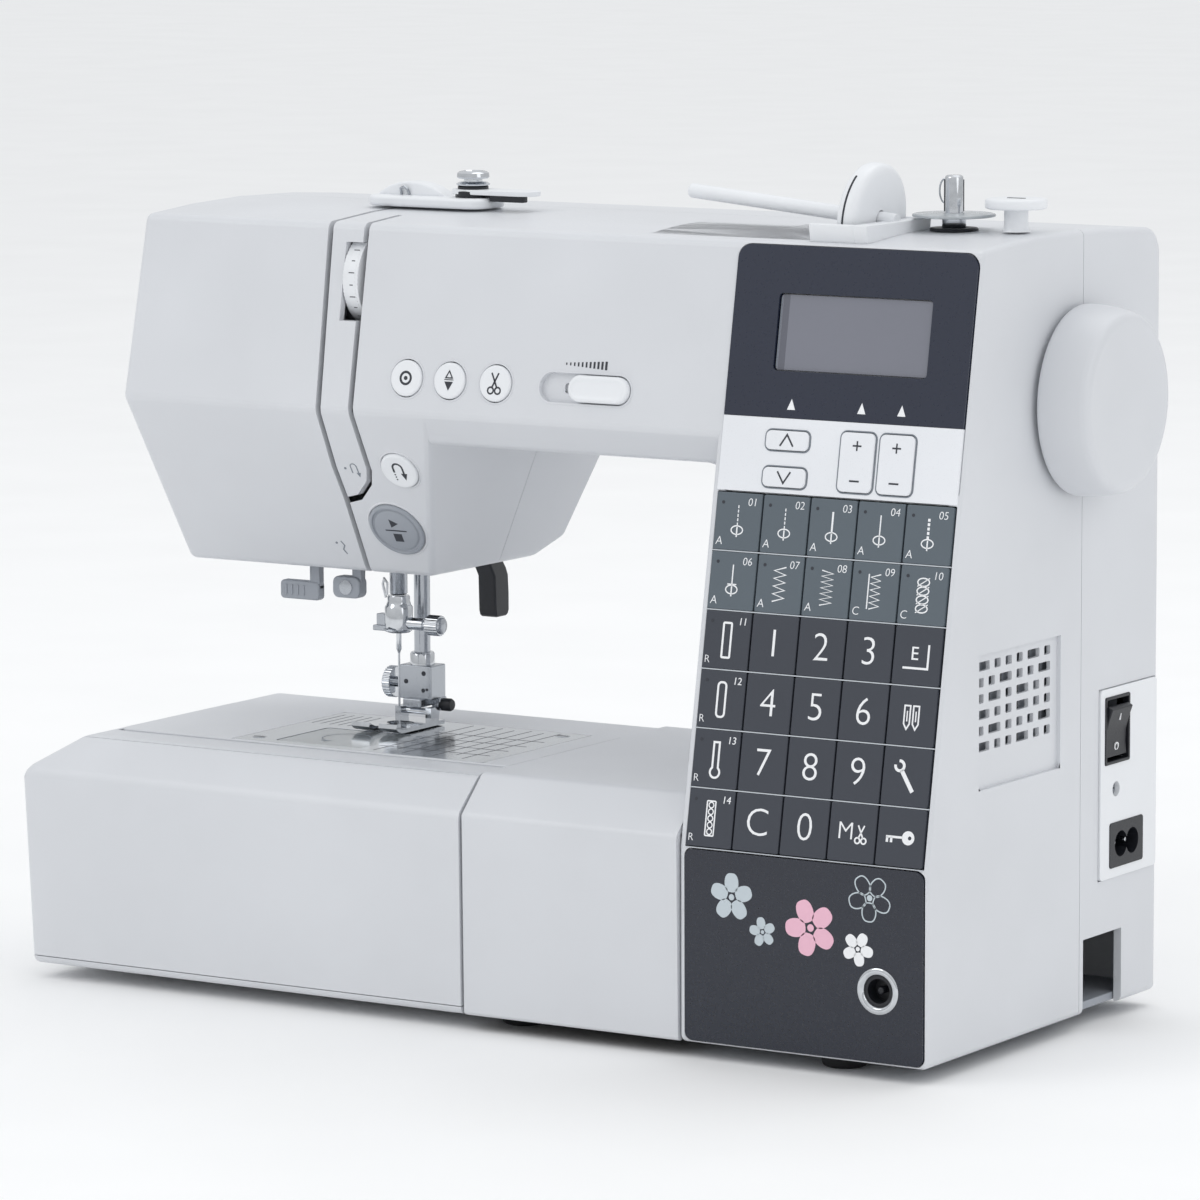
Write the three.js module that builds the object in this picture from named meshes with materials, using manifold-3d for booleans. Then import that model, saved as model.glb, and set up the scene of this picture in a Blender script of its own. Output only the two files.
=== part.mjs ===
// Computerised domestic sewing machine, modelled as an assembly of separate pieces.
// Millimetres. +X runs along the bed towards the handwheel, +Y to the back, +Z up.
// The origin is on the table top, at the middle of the machine's overall footprint.
import * as THREE from 'three';
import { ConvexGeometry } from 'three/addons/geometries/ConvexGeometry.js';
import { mergeVertices } from 'three/addons/utils/BufferGeometryUtils.js';
import Module from 'manifold-3d';

const wasm = await Module();
wasm.setup();

// ---------------------------------------------------------------- driving dimensions

const HALF_WIDTH = 201; // overall width 402
const CASE_BOTTOM = 5.5;
const CASE_FRONT = -84;
const CASE_REAR = 85;
const WALL = 3;
const GAP = 0.3; // between pieces that touch
const BEYOND = 60; // how far a cutting solid runs past what it cuts

const KNEE_Z = 74.6; // the front is upright below this height and leans back above it
const TOP_FRONT_Y = -46.4;
const TOP_FRONT_Z = 281.3;
const REAR_ROUND = 10;
const ROOF = [[-20, 283.3], [10, 284.2], [45, 283.4], [75, 281.4]]; // crowned top, (y, z)
const SEAM_Y = 26; // front and rear casings meet here

const COLUMN_LEFT = 82.3;
const COLUMN_RIGHT = 180.5;
const ARM_UNDER_Z = 203.5;
const ARM_UNDER_FRONT_Y = -50;
const CREASE_Z = 214.8; // lower front edge of arm and head
const HEAD_LEFT = -172.1;
const HEAD_LEFT_TOP = -169.5;
const HEAD_RIGHT = -37.5;
const HEAD_RIGHT_BOTTOM = -63;
const HEAD_BOTTOM = 150.7;
const HEAD_FRONT_BOTTOM_Y = -17.6;

const BED_TOP = 91;
const BED_EDGE_Z = 77.7; // top of the upright walls; a slope runs from here to the top
const BED_FRONT = -85;
const BED_SLOPE_TOP = -71;
const BED_REAR = 68;
const BED_REAR_SLOPE_TOP = 53;
const BED_SPLIT_X = -7.9; // bed and extension table meet here
const TABLE_TOP = 90.2;
const FREE_ARM = { left: -178, front: -55, rear: 20.5, bottom: 33 };

const SHAFT_Y = 21.8; // handwheel and main shaft
const SHAFT_Z = 225;
const LOWER_SHAFT_Y = 8;
const LOWER_SHAFT_Z = 50;
const MOTOR_Y = 56;
const MOTOR_Z = 118;
const BELT_WHEEL_R = 24;
const MOTOR_PULLEY_R = 8;
const BELT_X = [150, 158];

const NEEDLE_X = -88;
const NEEDLE_Y = -3;
const PRESSER_Y = 12.5;
const HOOK = { x: -92.5, y: -31 };

const KEY_COLUMNS = 5;
const KEY_ROWS = 6;
const KEYPAD = { left: 85.1, right: 179.4, bottom: 0, top: 123.3 }; // on the leaning front
const ARM_BUTTON_V = 155.5;
const ARM_BUTTON_X = [-47.7, -29.3, -9.9];
const ARM_BUTTON_R = 6.5;

// ---------------------------------------------------------------- finishes

const finish = (color, roughness, metalness = 0) => ({ color, roughness, metalness });
const WHITE = finish(0xd6dae1, 0.42);
const WARM_WHITE = finish(0xeceef0, 0.4);
const SLATE = finish(0x34384a, 0.25);
const MID_KEY = finish(0x626c74, 0.6);
const DARK_KEY = finish(0x42464f, 0.6);
const GLASS = finish(0x7a7a86, 0.15);
const SILVER_KEY = finish(0xd9dce2, 0.45);
const BLACK = finish(0x22242e, 0.5);
const GREY = finish(0x9aa0a8, 0.5);
const STEEL = finish(0xb8bcc2, 0.25, 1);
const CHROME = finish(0xd5d8dc, 0.1, 1);
const CAST = finish(0x8d9096, 0.6, 0.8);
const RUBBER = finish(0x2a2a2c, 0.9);
const CLEAR = finish(0xdfe6ea, 0.1);
const BOARD = finish(0x2f6b46, 0.5);

// ---------------------------------------------------------------- solids

function solid(geometry) {
  const bare = geometry.clone();
  bare.deleteAttribute('normal');
  bare.deleteAttribute('uv');
  const merged = mergeVertices(bare, 1e-4);
  const points = merged.attributes.position;
  const index = merged.index.array;
  const triangles = [];
  let volume = 0;
  const corner = [0, 1, 2].map(() => new THREE.Vector3());
  for (let i = 0; i < index.length; i += 3) {
    const [a, b, c] = [index[i], index[i + 1], index[i + 2]];
    if (a === b || b === c || a === c) {
      continue;
    }
    triangles.push([a, b, c]);
    [a, b, c].forEach((at, k) => corner[k].fromBufferAttribute(points, at));
    volume += corner[0].dot(corner[1].clone().cross(corner[2]));
  }
  const outward = volume < 0 ? triangles.map(([a, b, c]) => [a, c, b]) : triangles;
  return new wasm.Manifold(new wasm.Mesh({
    numProp: 3,
    vertProperties: new Float32Array(points.array),
    triVerts: new Uint32Array(outward.flat()),
  }));
}

function surface(body) {
  const mesh = body.getMesh();
  const geometry = new THREE.BufferGeometry();
  geometry.setAttribute('position', new THREE.BufferAttribute(mesh.vertProperties, 3));
  geometry.setIndex(new THREE.BufferAttribute(mesh.triVerts, 1));
  geometry.computeVertexNormals();
  return geometry;
}

const join = (first, ...rest) => rest.reduce((sum, next) => sum.add(next), first);
const cut = (first, ...rest) => rest.reduce((left, next) => left.subtract(next), first);

function box(x0, x1, y0, y1, z0, z1) {
  const geometry = new THREE.BoxGeometry(x1 - x0, y1 - y0, z1 - z0);
  return solid(geometry.translate((x0 + x1) / 2, (y0 + y1) / 2, (z0 + z1) / 2));
}

const hull = (points) => solid(new ConvexGeometry(points.map((p) => new THREE.Vector3(...p))));

// Turns a shape built along local Y so that it runs along the named axis at (a, b).
function alongAxis(geometry, axis, a, b) {
  if (axis === 'x') {
    return geometry.rotateZ(-Math.PI / 2).translate(0, a, b);
  }
  if (axis === 'z') {
    return geometry.rotateX(Math.PI / 2).translate(a, b, 0);
  }
  return geometry.translate(a, 0, b);
}

function rod(axis, radius, low, high, a = 0, b = 0, sides = 20) {
  const geometry = new THREE.CylinderGeometry(radius, radius, high - low, sides);
  return solid(alongAxis(geometry.translate(0, (low + high) / 2, 0), axis, a, b));
}

// A turned piece: profile points are (radius, distance along the axis).
function turned(axis, profile, a = 0, b = 0, sides = 24) {
  const points = profile.map(([r, h]) => new THREE.Vector2(r, h));
  return solid(alongAxis(new THREE.LatheGeometry(points, sides), axis, a, b));
}

// A straight prism along an axis. Outlines are (y, z), (x, z) or (x, y) for x, y and z.
function prism(axis, outline, low, high) {
  const shape = new THREE.Shape(outline.map(([a, b]) => new THREE.Vector2(a, b)));
  const geometry = new THREE.ExtrudeGeometry(shape, { depth: high - low, bevelEnabled: false });
  if (axis === 'y') {
    return solid(geometry.translate(0, 0, -high).rotateX(Math.PI / 2));
  }
  geometry.translate(0, 0, low);
  if (axis === 'x') {
    geometry.rotateX(Math.PI / 2).rotateZ(Math.PI / 2);
  }
  return solid(geometry);
}

function arc(cx, cy, radius, from, to, steps) {
  return Array.from({ length: steps + 1 }, (_, i) => {
    const angle = THREE.MathUtils.degToRad(from + ((to - from) * i) / steps);
    return [cx + radius * Math.cos(angle), cy + radius * Math.sin(angle)];
  });
}

function roundedRect(a0, a1, b0, b1, radius, steps = 3) {
  return [
    ...arc(a1 - radius, b0 + radius, radius, -90, 0, steps),
    ...arc(a1 - radius, b1 - radius, radius, 0, 90, steps),
    ...arc(a0 + radius, b1 - radius, radius, 90, 180, steps),
    ...arc(a0 + radius, b0 + radius, radius, 180, 270, steps),
  ];
}

const pill = (a0, a1, b0, b1) => roundedRect(a0, a1, b0, b1, (b1 - b0) / 2 - 0.01, 4);

// A band of constant width along a line of points.
function ribbon(line, width) {
  const sides = line.map((point, i) => {
    const before = line[Math.max(i - 1, 0)];
    const after = line[Math.min(i + 1, line.length - 1)];
    const along = new THREE.Vector2(after[0] - before[0], after[1] - before[1]).normalize();
    const [nx, ny] = [(-along.y * width) / 2, (along.x * width) / 2];
    return [[point[0] + nx, point[1] + ny], [point[0] - nx, point[1] - ny]];
  });
  return [...sides.map((s) => s[0]), ...sides.map((s) => s[1]).reverse()];
}

// ---------------------------------------------------------------- assembly and frames

const machine = new THREE.Group();

// The leaning front: local x is +X, local y climbs the slope, local z points out.
const panel = new THREE.Group();
panel.position.set(0, CASE_FRONT, KNEE_Z);
panel.rotation.x = Math.atan2(TOP_FRONT_Z - KNEE_Z, TOP_FRONT_Y - CASE_FRONT);
machine.add(panel);

// The lower face of the head: same axes, from the crease downwards.
const headFace = new THREE.Group();
headFace.position.set(0, -58.5, CREASE_Z);
headFace.rotation.x = Math.atan2(CREASE_Z - HEAD_BOTTOM, -58.5 - HEAD_FRONT_BOTTOM_Y);
machine.add(headFace);

// The spool pin: local x runs down along the pin from its tip.
const spoolLine = new THREE.Group();
spoolLine.position.set(48.5, -20, 295.9);
spoolLine.rotation.y = 0.0946;
machine.add(spoolLine);

function inWorld(body, group) {
  group.updateMatrixWorld(true);
  return body.transform(group.matrixWorld.elements);
}

function add(name, body, look, parent = machine) {
  const mesh = new THREE.Mesh(surface(body), new THREE.MeshStandardMaterial(look));
  mesh.name = name;
  parent.add(mesh);
  return mesh;
}

// ---------------------------------------------------------------- casing shapes

const LEAN = (TOP_FRONT_Y - CASE_FRONT) / (TOP_FRONT_Z - KNEE_Z);
const leanCos = Math.cos(Math.atan(LEAN));
const frontY = (z, inset = 0) => CASE_FRONT + (z - KNEE_Z) * LEAN + inset / leanCos;

// Outline from the front edge of the roof to the back wall.
function roof(inset) {
  const corner = [CASE_REAR - REAR_ROUND, ROOF[3][1] - REAR_ROUND];
  return [
    [frontY(TOP_FRONT_Z - inset, inset), TOP_FRONT_Z - inset],
    ...ROOF.slice(0, 3).map(([y, z]) => [y, z - inset]),
    ...arc(...corner, REAR_ROUND - inset, 90, 0, 4),
  ];
}

function column(inset, bottom) {
  const front = CASE_FRONT + inset;
  const outline = [[front, bottom], [front, KNEE_Z], ...roof(inset), [CASE_REAR - inset, bottom]];
  return prism('x', outline, COLUMN_LEFT + inset, COLUMN_RIGHT - inset);
}

function arm(inset) {
  const outline = [
    [ARM_UNDER_FRONT_Y + inset, ARM_UNDER_Z + inset],
    [frontY(CREASE_Z, inset), CREASE_Z],
    ...roof(inset),
    [CASE_REAR - inset, 250],
    [CASE_REAR - 3 - inset, ARM_UNDER_Z + inset],
  ];
  return prism('x', outline, HEAD_LEFT + inset, COLUMN_RIGHT - inset);
}

const headRight = (z) => HEAD_RIGHT
  + ((CREASE_Z - z) * (HEAD_RIGHT_BOTTOM - HEAD_RIGHT)) / (CREASE_Z - HEAD_BOTTOM);

function head(inset) {
  const lowFrontY = HEAD_FRONT_BOTTOM_Y + inset * 0.55;
  const low = HEAD_BOTTOM + inset;
  const sections = [
    [230, frontY(230, inset), 82 - inset],
    [CREASE_Z, frontY(CREASE_Z, inset), 82 - inset],
    [187.5, -20, 75.7 - inset],
    [156.5 + inset, -10, 68.5 - inset],
    [low, lowFrontY, 52],
  ];
  return hull(sections.flatMap(([z, y0, y1]) => {
    const right = Math.min(headRight(z), HEAD_RIGHT) - inset;
    const left = HEAD_LEFT + inset;
    return [[left, y0, z], [right, y0, z], [left, y1, z], [right, y1, z]];
  }));
}

// The head's left side leans in a little above the crease.
function leftTaper(inset) {
  const edge = HEAD_LEFT + inset;
  const top = HEAD_LEFT_TOP + inset;
  const outline = [
    [edge, CREASE_Z], [top, TOP_FRONT_Z], [top, 300], [edge - 9, 300], [edge - 9, CREASE_Z],
  ];
  return prism('y', outline, -120, 120);
}

const throatFillet = prism('y', [
  [COLUMN_LEFT + 1, ARM_UNDER_Z + 1],
  ...arc(COLUMN_LEFT - 10, ARM_UNDER_Z - 10, 10, 90, 0, 4),
], ARM_UNDER_FRONT_Y + 2, CASE_REAR - 4);

function upperBody(inset, bottom) {
  return join(column(inset, bottom), arm(inset), head(inset)).subtract(leftTaper(inset));
}

const handleLiner = box(-64, 64, 74, 84, 204, 280);

// The spool lies along a trough in the roof, whose end the saddle closes.
const SPOOL = { y: -20, z: 289, saddleR: 22.8, saddleX: [110, 133], boreR: 20.6, troughX: 44 };
const troughLiner = rod(
  'x', SPOOL.boreR + WALL, SPOOL.troughX - WALL, SPOOL.saddleX[0] + 1, SPOOL.y, SPOOL.z, 40);

function upperShell() {
  const outer = upperBody(0, CASE_BOTTOM);
  const inner = upperBody(WALL, -BEYOND);
  const liners = [handleLiner, troughLiner].map((liner) => liner.intersect(outer));
  return join(outer.subtract(inner), ...liners, throatFillet);
}

// ---------------------------------------------------------------- upper casings

// Centre line of the needle-side thread slit, (x, z), from the roof to the head's bottom.
const THREAD_SLIT = [
  [-86.6, 300], [-86.6, 280.5], [-85, 216.6], [-87.9, 192.6], [-88.2, 180], [-90.9, 152.3], [-91, 140],
];
// The tension-side slit turns round under the strip and joins the first one.
const RETURN_SLIT = [
  [-71, 300], [-71, 215], [-72.8, 192], [-75.1, 186.8], [-81.7, 180.9], [-88, 179.3],
];
const SLIT_WIDTH = 2.2;

function leftOfSlit(shift) {
  const edge = THREAD_SLIT.map(([x, z]) => [x + shift, z]);
  return prism('y', [[-190, 300], ...edge, [-190, 140]], -120, SEAM_Y + 1);
}

const DIAL = { x0: -78.8, x1: -72.4, y: -34.2, z: 260.5, r: 17 };
const SOCKET_PLATE = { y0: 40, y1: 82.5, z0: 51.8, z1: 120 };
const socketPlate = (x0, x1, grow) => box(
  x0, x1, SOCKET_PLATE.y0 - grow, SOCKET_PLATE.y1 + grow, SOCKET_PLATE.z0 - grow, SOCKET_PLATE.z1 + grow);
const FASCIA = { x0: 85, x1: 179.4 }; // width of the control panel and the lower panel
const JACK = { x: 162, z: 31.3, r: 5.6 };
const DISPLAY = { x0: 102.9, x1: 163.4, v0: 165.9, v1: 192.7 };
const VENT = { y0: -47.7, y1: 11, z0: 96.5, z1: 143.4 };

// Keys on the light strip, in panel coordinates (x0, x1, v0, v1).
const UP_KEY = [103, 120, 138.6, 145.3];
const DOWN_KEY = [103, 120, 125.8, 132.6];
const WIDTH_KEY = [132.7, 146.1, 125.7, 146.2];
const LENGTH_KEY = [148.1, 161.7, 125.7, 146.2];
const STRIP_KEYS = [UP_KEY, DOWN_KEY, WIDTH_KEY, LENGTH_KEY];
const KEY_CLEARANCE = 0.4;
const KEY_CORNER = 2;

const keyOutline = ([x0, x1, v0, v1], grow = 0) => roundedRect(
  x0 - grow, x1 + grow, v0 - grow, v1 + grow, KEY_CORNER + grow);

const SLIDER = { x0: 8.3, x1: 46.2, v0: 150.2, v1: 160.7, knobX0: 21.2 };
const REVERSE = { x: -59, v: -26.1, r: 7.5 };
const START = { x: -70.5, v: -54.2, r: 11.3 };

function frontOpenings() {
  const onPanel = [
    prism('z', roundedRect(FASCIA.x0 - GAP, FASCIA.x1 + GAP, 123.2, 209.5, 5), -1.8, BEYOND),
    prism('z', roundedRect(KEYPAD.left, KEYPAD.right, -0.3, 123.4, 0.5), -8, BEYOND),
    ...STRIP_KEYS.map((key) => prism('z', keyOutline(key, KEY_CLEARANCE), -6, 6)),
    ...ARM_BUTTON_X.map((x) => rod('z', ARM_BUTTON_R + KEY_CLEARANCE, -6, 6, x, ARM_BUTTON_V)),
    prism('z', pill(SLIDER.x0, SLIDER.x1, SLIDER.v0, SLIDER.v1), -2.2, 6),
    prism('z', roundedRect(17.6, 36.2, 153.7, 157.3, 1), -6, 0),
  ].map((body) => inWorld(body, panel));
  const onFace = [REVERSE, START].map(({ x, v, r }) => (
    inWorld(rod('z', r + KEY_CLEARANCE, -7, 6, x, v, 28), headFace)));
  return [
    ...onPanel,
    ...onFace,
    prism('y', roundedRect(FASCIA.x0 - GAP, FASCIA.x1 + GAP, 6.3, 74.2, 3), -100, -82.2),
    rod('y', JACK.r + KEY_CLEARANCE, -90, -78, JACK.x, JACK.z),
    box(DIAL.x0 - 0.5, -70.5, -60, -38, DIAL.z - 14, DIAL.z + 14),
    prism('y', ribbon(RETURN_SLIT, SLIT_WIDTH), -120, -25),
    rod('x', SPOOL.saddleR + GAP, SPOOL.saddleX[0] - GAP, SPOOL.saddleX[1] + GAP, SPOOL.y, SPOOL.z, 32),
    rod('x', SPOOL.boreR, SPOOL.troughX, SPOOL.saddleX[0] + 2, SPOOL.y, SPOOL.z, 40),
    rod('z', 3, 270, 290, 143.5, 0, 16),
    box(COLUMN_RIGHT - 1.5, COLUMN_RIGHT + 5, VENT.y0, VENT.y1, VENT.z0, VENT.z1),
  ];
}

const shaftHole = rod('x', 5, 170, 190, SHAFT_Y, SHAFT_Z);
const bedWindow = box(80, 86, CASE_FRONT + WALL, 65, 0, 84);
const needleOpening = box(-97, -79, -12, SEAM_Y - 4, 145, 158);
const threaderOpening = box(-126, -99, -11, -3, 145, 158);

const shell = upperShell();
const FAR = BEYOND * 4;
const behindSeam = box(-FAR, FAR, SEAM_Y, 120, 0, 300);
const beforeSeam = box(-FAR, FAR, -120, SEAM_Y + GAP, 0, 300);
const frontShell = cut(shell, behindSeam, shaftHole, bedWindow, needleOpening);
const rearShell = cut(shell, beforeSeam, shaftHole, bedWindow);

add('front_cover', cut(frontShell, leftOfSlit(SLIT_WIDTH / 2), ...frontOpenings()), WHITE);
add('face_cover', frontShell.intersect(leftOfSlit(-SLIT_WIDTH / 2)).subtract(threaderOpening), WHITE);

const HANDLE = { half: 60, armWidth: 7, bottom: 210, pivotZ: 262, y: 81, y0: 77.5, y1: 84.5 };
const socketBody = box(165, 180, 43.5, 76.5, 53.5, 117.5);
const rearCover = cut(
  rearShell,
  box(-HANDLE.half - 1, HANDLE.half + 1, 77, 100, 207, 268),
  ...[-1, 1].map((side) => {
    const [a, b] = [side * (HANDLE.half + 1), side * (HANDLE.half - HANDLE.armWidth - 1)];
    return box(Math.min(a, b), Math.max(a, b), 77, 100, 262, 300);
  }),
  socketPlate(179, 190, GAP),
  box(170, 182, 43, 77, 53, 118),
  box(170, 190, 29, 58, 0, 32.5),
  box(-93, -83, 33, 100, 140, 180),
);
add('rear_cover', rearCover, WHITE);

// ---------------------------------------------------------------- bed, free arm and table

function bedOutline(inset, bottom) {
  return [
    [CASE_FRONT + inset, bottom],
    [BED_FRONT + inset, BED_EDGE_Z],
    [BED_SLOPE_TOP + inset * 0.6, BED_TOP - inset],
    [BED_REAR_SLOPE_TOP - inset * 0.6, BED_TOP - inset],
    [BED_REAR - inset, BED_EDGE_Z],
    [BED_REAR - inset, bottom],
  ];
}

const freeArmOutline = roundedRect(FREE_ARM.left, -5, FREE_ARM.front, FREE_ARM.rear, 4);
const bedCover = cut(
  join(
    prism('x', bedOutline(0, CASE_BOTTOM), BED_SPLIT_X + GAP, COLUMN_LEFT - GAP),
    prism('z', freeArmOutline, FREE_ARM.bottom, BED_TOP),
  ),
  prism('x', bedOutline(WALL, -BEYOND), BED_SPLIT_X + WALL, 90),
  box(FREE_ARM.left + WALL, 0, FREE_ARM.front + WALL, FREE_ARM.rear - WALL, FREE_ARM.bottom + WALL, 88),
  box(-127.8, -17.7, -54.3, 19.3, 89.1, 95),
  box(-110, -76, -48, -13, 80, 95),
  box(-102, -77, -14, 11.5, 80, 95),
);
add('bed_cover', bedCover, WHITE);

const tableOuter = hull([
  [CASE_BOTTOM, -198, -84, 66],
  [BED_EDGE_Z, -HALF_WIDTH, BED_FRONT, BED_REAR],
  [TABLE_TOP, -182, BED_SLOPE_TOP, BED_REAR_SLOPE_TOP],
].flatMap(([z, left, y0, y1]) => [left, BED_SPLIT_X - GAP].flatMap((x) => [[x, y0, z], [x, y1, z]])));

// The lid is the front wall and front slope of the table; its hinge runs along its foot.
const lidSpace = (grow) => prism('x', [
  [-100, 8.6 - grow],
  [-81.6 + grow, 8.6 - grow],
  [-82.5 + grow, 76.8 - grow],
  [-71.2 + grow, 87.2 - grow],
  [-71.2 + grow, 100],
  [-100, 100],
], -HALF_WIDTH - 5, 0);

const TABLE_RIGHT = BED_SPLIT_X - GAP - WALL;
const extensionTable = join(
  cut(
    tableOuter,
    lidSpace(GAP),
    box(-195.5, TABLE_RIGHT, -95, -58.2, 10.8, 84),
    box(-178.6, 0, -55.4, 20.9, 32, 120),
    box(-178.6, TABLE_RIGHT, -55.4, 20.9, -1, 29.5),
    prism('x', [[23.9, -1], [63, -1], [65, 76.5], [52, 87.2], [23.9, 87.2]], -176, TABLE_RIGHT),
    prism('y', [[-194.5, -1], [-181.6, -1], [-181.6, 86.9], [-197.6, 76.4]], -55.4, 50),
  ),
  box(-172, -156, 21.2, 23.6, 0, 7),
  box(-181.3, -178.9, -40, -20, 0, 7),
);
add('extension_table', extensionTable, WHITE);
add('accessory_lid', tableOuter.intersect(lidSpace(0)), WHITE);

const baseOutline = [[-4.2, -80.6], [177, -80.6], [177, 81.6], [86, 81.6], [86, 64.6], [-4.2, 64.6]];
add('base_plate', prism('z', baseOutline, 6, 8.8), GREY);

const footBody = turned('z', [[0, 0], [6.5, 0], [8, 1.2], [8, 5.7], [0, 5.7]], 0, 0, 20);
const FEET = {
  foot_front_left: [4, -61],
  foot_front_right: [138.5, -66],
  foot_rear_left: [4, 54],
  foot_rear_right: [138.5, 66],
};
for (const [name, [x, y]] of Object.entries(FEET)) {
  add(name, footBody, RUBBER).position.set(x, y, 0);
}

// ---------------------------------------------------------------- control panel

const controlPanel = cut(
  prism('z', roundedRect(FASCIA.x0, FASCIA.x1, 123.7, 209.2, 5), -1.5, 0.5),
  prism('z', roundedRect(DISPLAY.x0, DISPLAY.x1, DISPLAY.v0, DISPLAY.v1, 1.5), -2, 2),
  ...STRIP_KEYS.map((key) => prism('z', keyOutline(key, KEY_CLEARANCE), -2, 2)),
);
add('control_panel', controlPanel, SLATE, panel);
const windowOutline = roundedRect(
  DISPLAY.x0 + GAP, DISPLAY.x1 - GAP, DISPLAY.v0 + GAP, DISPLAY.v1 - GAP, 1.5);
add('display_window', prism('z', windowOutline, -1.4, -0.5), GLASS, panel);

const lowerPanel = cut(
  prism('y', roundedRect(FASCIA.x0, FASCIA.x1, 6.6, 73.8, 3), CASE_FRONT - 0.4, -82.5),
  rod('y', JACK.r, -90, -80, JACK.x, JACK.z, 24),
);
add('lower_panel', lowerPanel, SLATE);

// Each row of five keys is moulded on one web behind the casing.
const ROW_PITCH = (KEYPAD.top - KEYPAD.bottom) / KEY_ROWS;
const COLUMN_PITCH = (KEYPAD.right - KEYPAD.left - 0.3) / KEY_COLUMNS;
const KEY_GAP = 0.6;

function keyRow() {
  const caps = Array.from({ length: KEY_COLUMNS }, (_, i) => {
    const left = KEYPAD.left + 0.3 + COLUMN_PITCH * i;
    const right = left + COLUMN_PITCH - KEY_GAP;
    const outline = roundedRect(left, right, KEY_GAP / 2, ROW_PITCH - KEY_GAP / 2, 0.6, 1);
    return prism('z', outline, -3.2, 0.6);
  });
  const web = box(KEYPAD.left + 1, KEYPAD.right - 1, 1.5, ROW_PITCH - 1.5, -5, -3);
  return join(web, ...caps);
}

for (let row = 0; row < KEY_ROWS; row += 1) {
  const look = row < 2 ? MID_KEY : DARK_KEY;
  const bottom = KEYPAD.top - ROW_PITCH * (row + 1);
  add(`key_row_${row + 1}`, keyRow(), look, panel).position.y = bottom;
}

const keyCap = (key) => prism('z', keyOutline(key), -4.6, 1.3);
const arrowWeb = box(UP_KEY[0] + 2, UP_KEY[1] - 2, DOWN_KEY[2] + 1, UP_KEY[3] - 1, -6, -4.5);
add('arrow_keys', join(arrowWeb, keyCap(UP_KEY), keyCap(DOWN_KEY)), SILVER_KEY, panel);
add('width_key', keyCap(WIDTH_KEY), SILVER_KEY, panel);
add('length_key', keyCap(LENGTH_KEY), SILVER_KEY, panel);

// A round push button with a retaining flange behind the wall.
function roundButton(radius, flange) {
  const stem = radius + flange;
  return turned('z', [
    [0, -5.6], [stem, -5.6], [stem, -4.2], [radius, -4.2], [radius, 0.5], [radius - 0.7, 1.1], [0, 1.1],
  ], 0, 0, 20);
}

['stop_mode_button', 'needle_button', 'cutter_button'].forEach((name, i) => {
  const button = add(name, roundButton(ARM_BUTTON_R, 1.1), WARM_WHITE, panel);
  button.position.set(ARM_BUTTON_X[i], ARM_BUTTON_V, 0);
});
const reverseButton = add('reverse_button', roundButton(REVERSE.r, 1), WARM_WHITE, headFace);
reverseButton.position.set(REVERSE.x, REVERSE.v, 0);
add('start_button', roundButton(START.r, 0), GREY, headFace).position.set(START.x, START.v, 0);

const sliderKnob = join(
  prism('z', pill(SLIDER.knobX0, SLIDER.x1 - 0.4, SLIDER.v0 + 0.5, SLIDER.v1 - 0.5), -1.9, 2.2),
  box(31, 35, 154.2, 156.8, -7, -1.5),
);
add('speed_slider', sliderKnob, WARM_WHITE, panel);

const dialWheel = turned('x', [
  [0, DIAL.x0], [DIAL.r - 0.8, DIAL.x0], [DIAL.r, DIAL.x0 + 0.8],
  [DIAL.r, DIAL.x1 - 0.8], [DIAL.r - 0.8, DIAL.x1], [0, DIAL.x1],
], DIAL.y, DIAL.z, 32);
add('tension_dial', dialWheel, WARM_WHITE);

const circuitBoard = join(
  box(88, 176, 4, 188, -13, -11.4),
  box(100, 124, 90, 114, -16, -12.5),
  box(134, 168, 150, 166, -15.5, -12.5),
  box(110, 118, 20, 60, -18, -12.5),
);
add('circuit_board', circuitBoard, BOARD, panel);

// ---------------------------------------------------------------- power socket

const ROCKER = { y0: 44.6, y1: 60.1, z: 104.9, pivotX: 176, tilt: THREE.MathUtils.degToRad(8) };
const socketUnit = cut(
  join(socketPlate(179.3, 181.3, 0), socketBody),
  box(168, 190, ROCKER.y0 - 0.4, ROCKER.y1 + 0.4, ROCKER.z - 11, ROCKER.z + 11),
  prism('x', [[47.4, 57.4], [71.6, 57.4], [71.6, 69.4], [47.4, 69.4]], 168, 190),
  rod('x', 2.6, 179, 190, 51.8, 83.5, 16),
);
const inletPins = [55, 64].map((y) => rod('x', 1.5, 166, 178, y, 63.4, 10));
add('socket_unit', join(socketUnit, ...inletPins), WARM_WHITE);

// The rocker rests switched off: its upper half stands out.
const rockerOutline = [[-4, -4], [4.4, -9.6], [6.4, -8.8], [5, 0], [6.4, 8.8], [4.4, 9.6], [-4, 4]];
const rockerBody = prism('y', rockerOutline, ROCKER.y0, ROCKER.y1);
const rocker = add('power_switch', rockerBody, BLACK);
rocker.position.set(ROCKER.pivotX, 0, ROCKER.z);
rocker.rotation.y = ROCKER.tilt;

// ---------------------------------------------------------------- needle and presser

const needleBar = rod('z', 3.3, 141, 252, NEEDLE_X, NEEDLE_Y, 16);
add('needle_bar', needleBar, STEEL);

const needleClamp = join(
  rod('z', 5.2, 127, 140.7, NEEDLE_X, NEEDLE_Y, 20),
  rod('x', 2, -86, -72, NEEDLE_Y, 130.5, 12),
  rod('x', 3.8, -74.5, -68.3, NEEDLE_Y, 130.5, 16),
);
add('needle_clamp', needleClamp, CHROME);

const needleProfile = [[0, 97], [0.45, 100], [0.45, 119.5], [1, 120.5], [1, 126.7], [0, 126.7]];
const needle = turned('z', needleProfile, 0, 0, 12);
add('needle', needle, STEEL).position.set(NEEDLE_X, NEEDLE_Y, 0);

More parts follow.
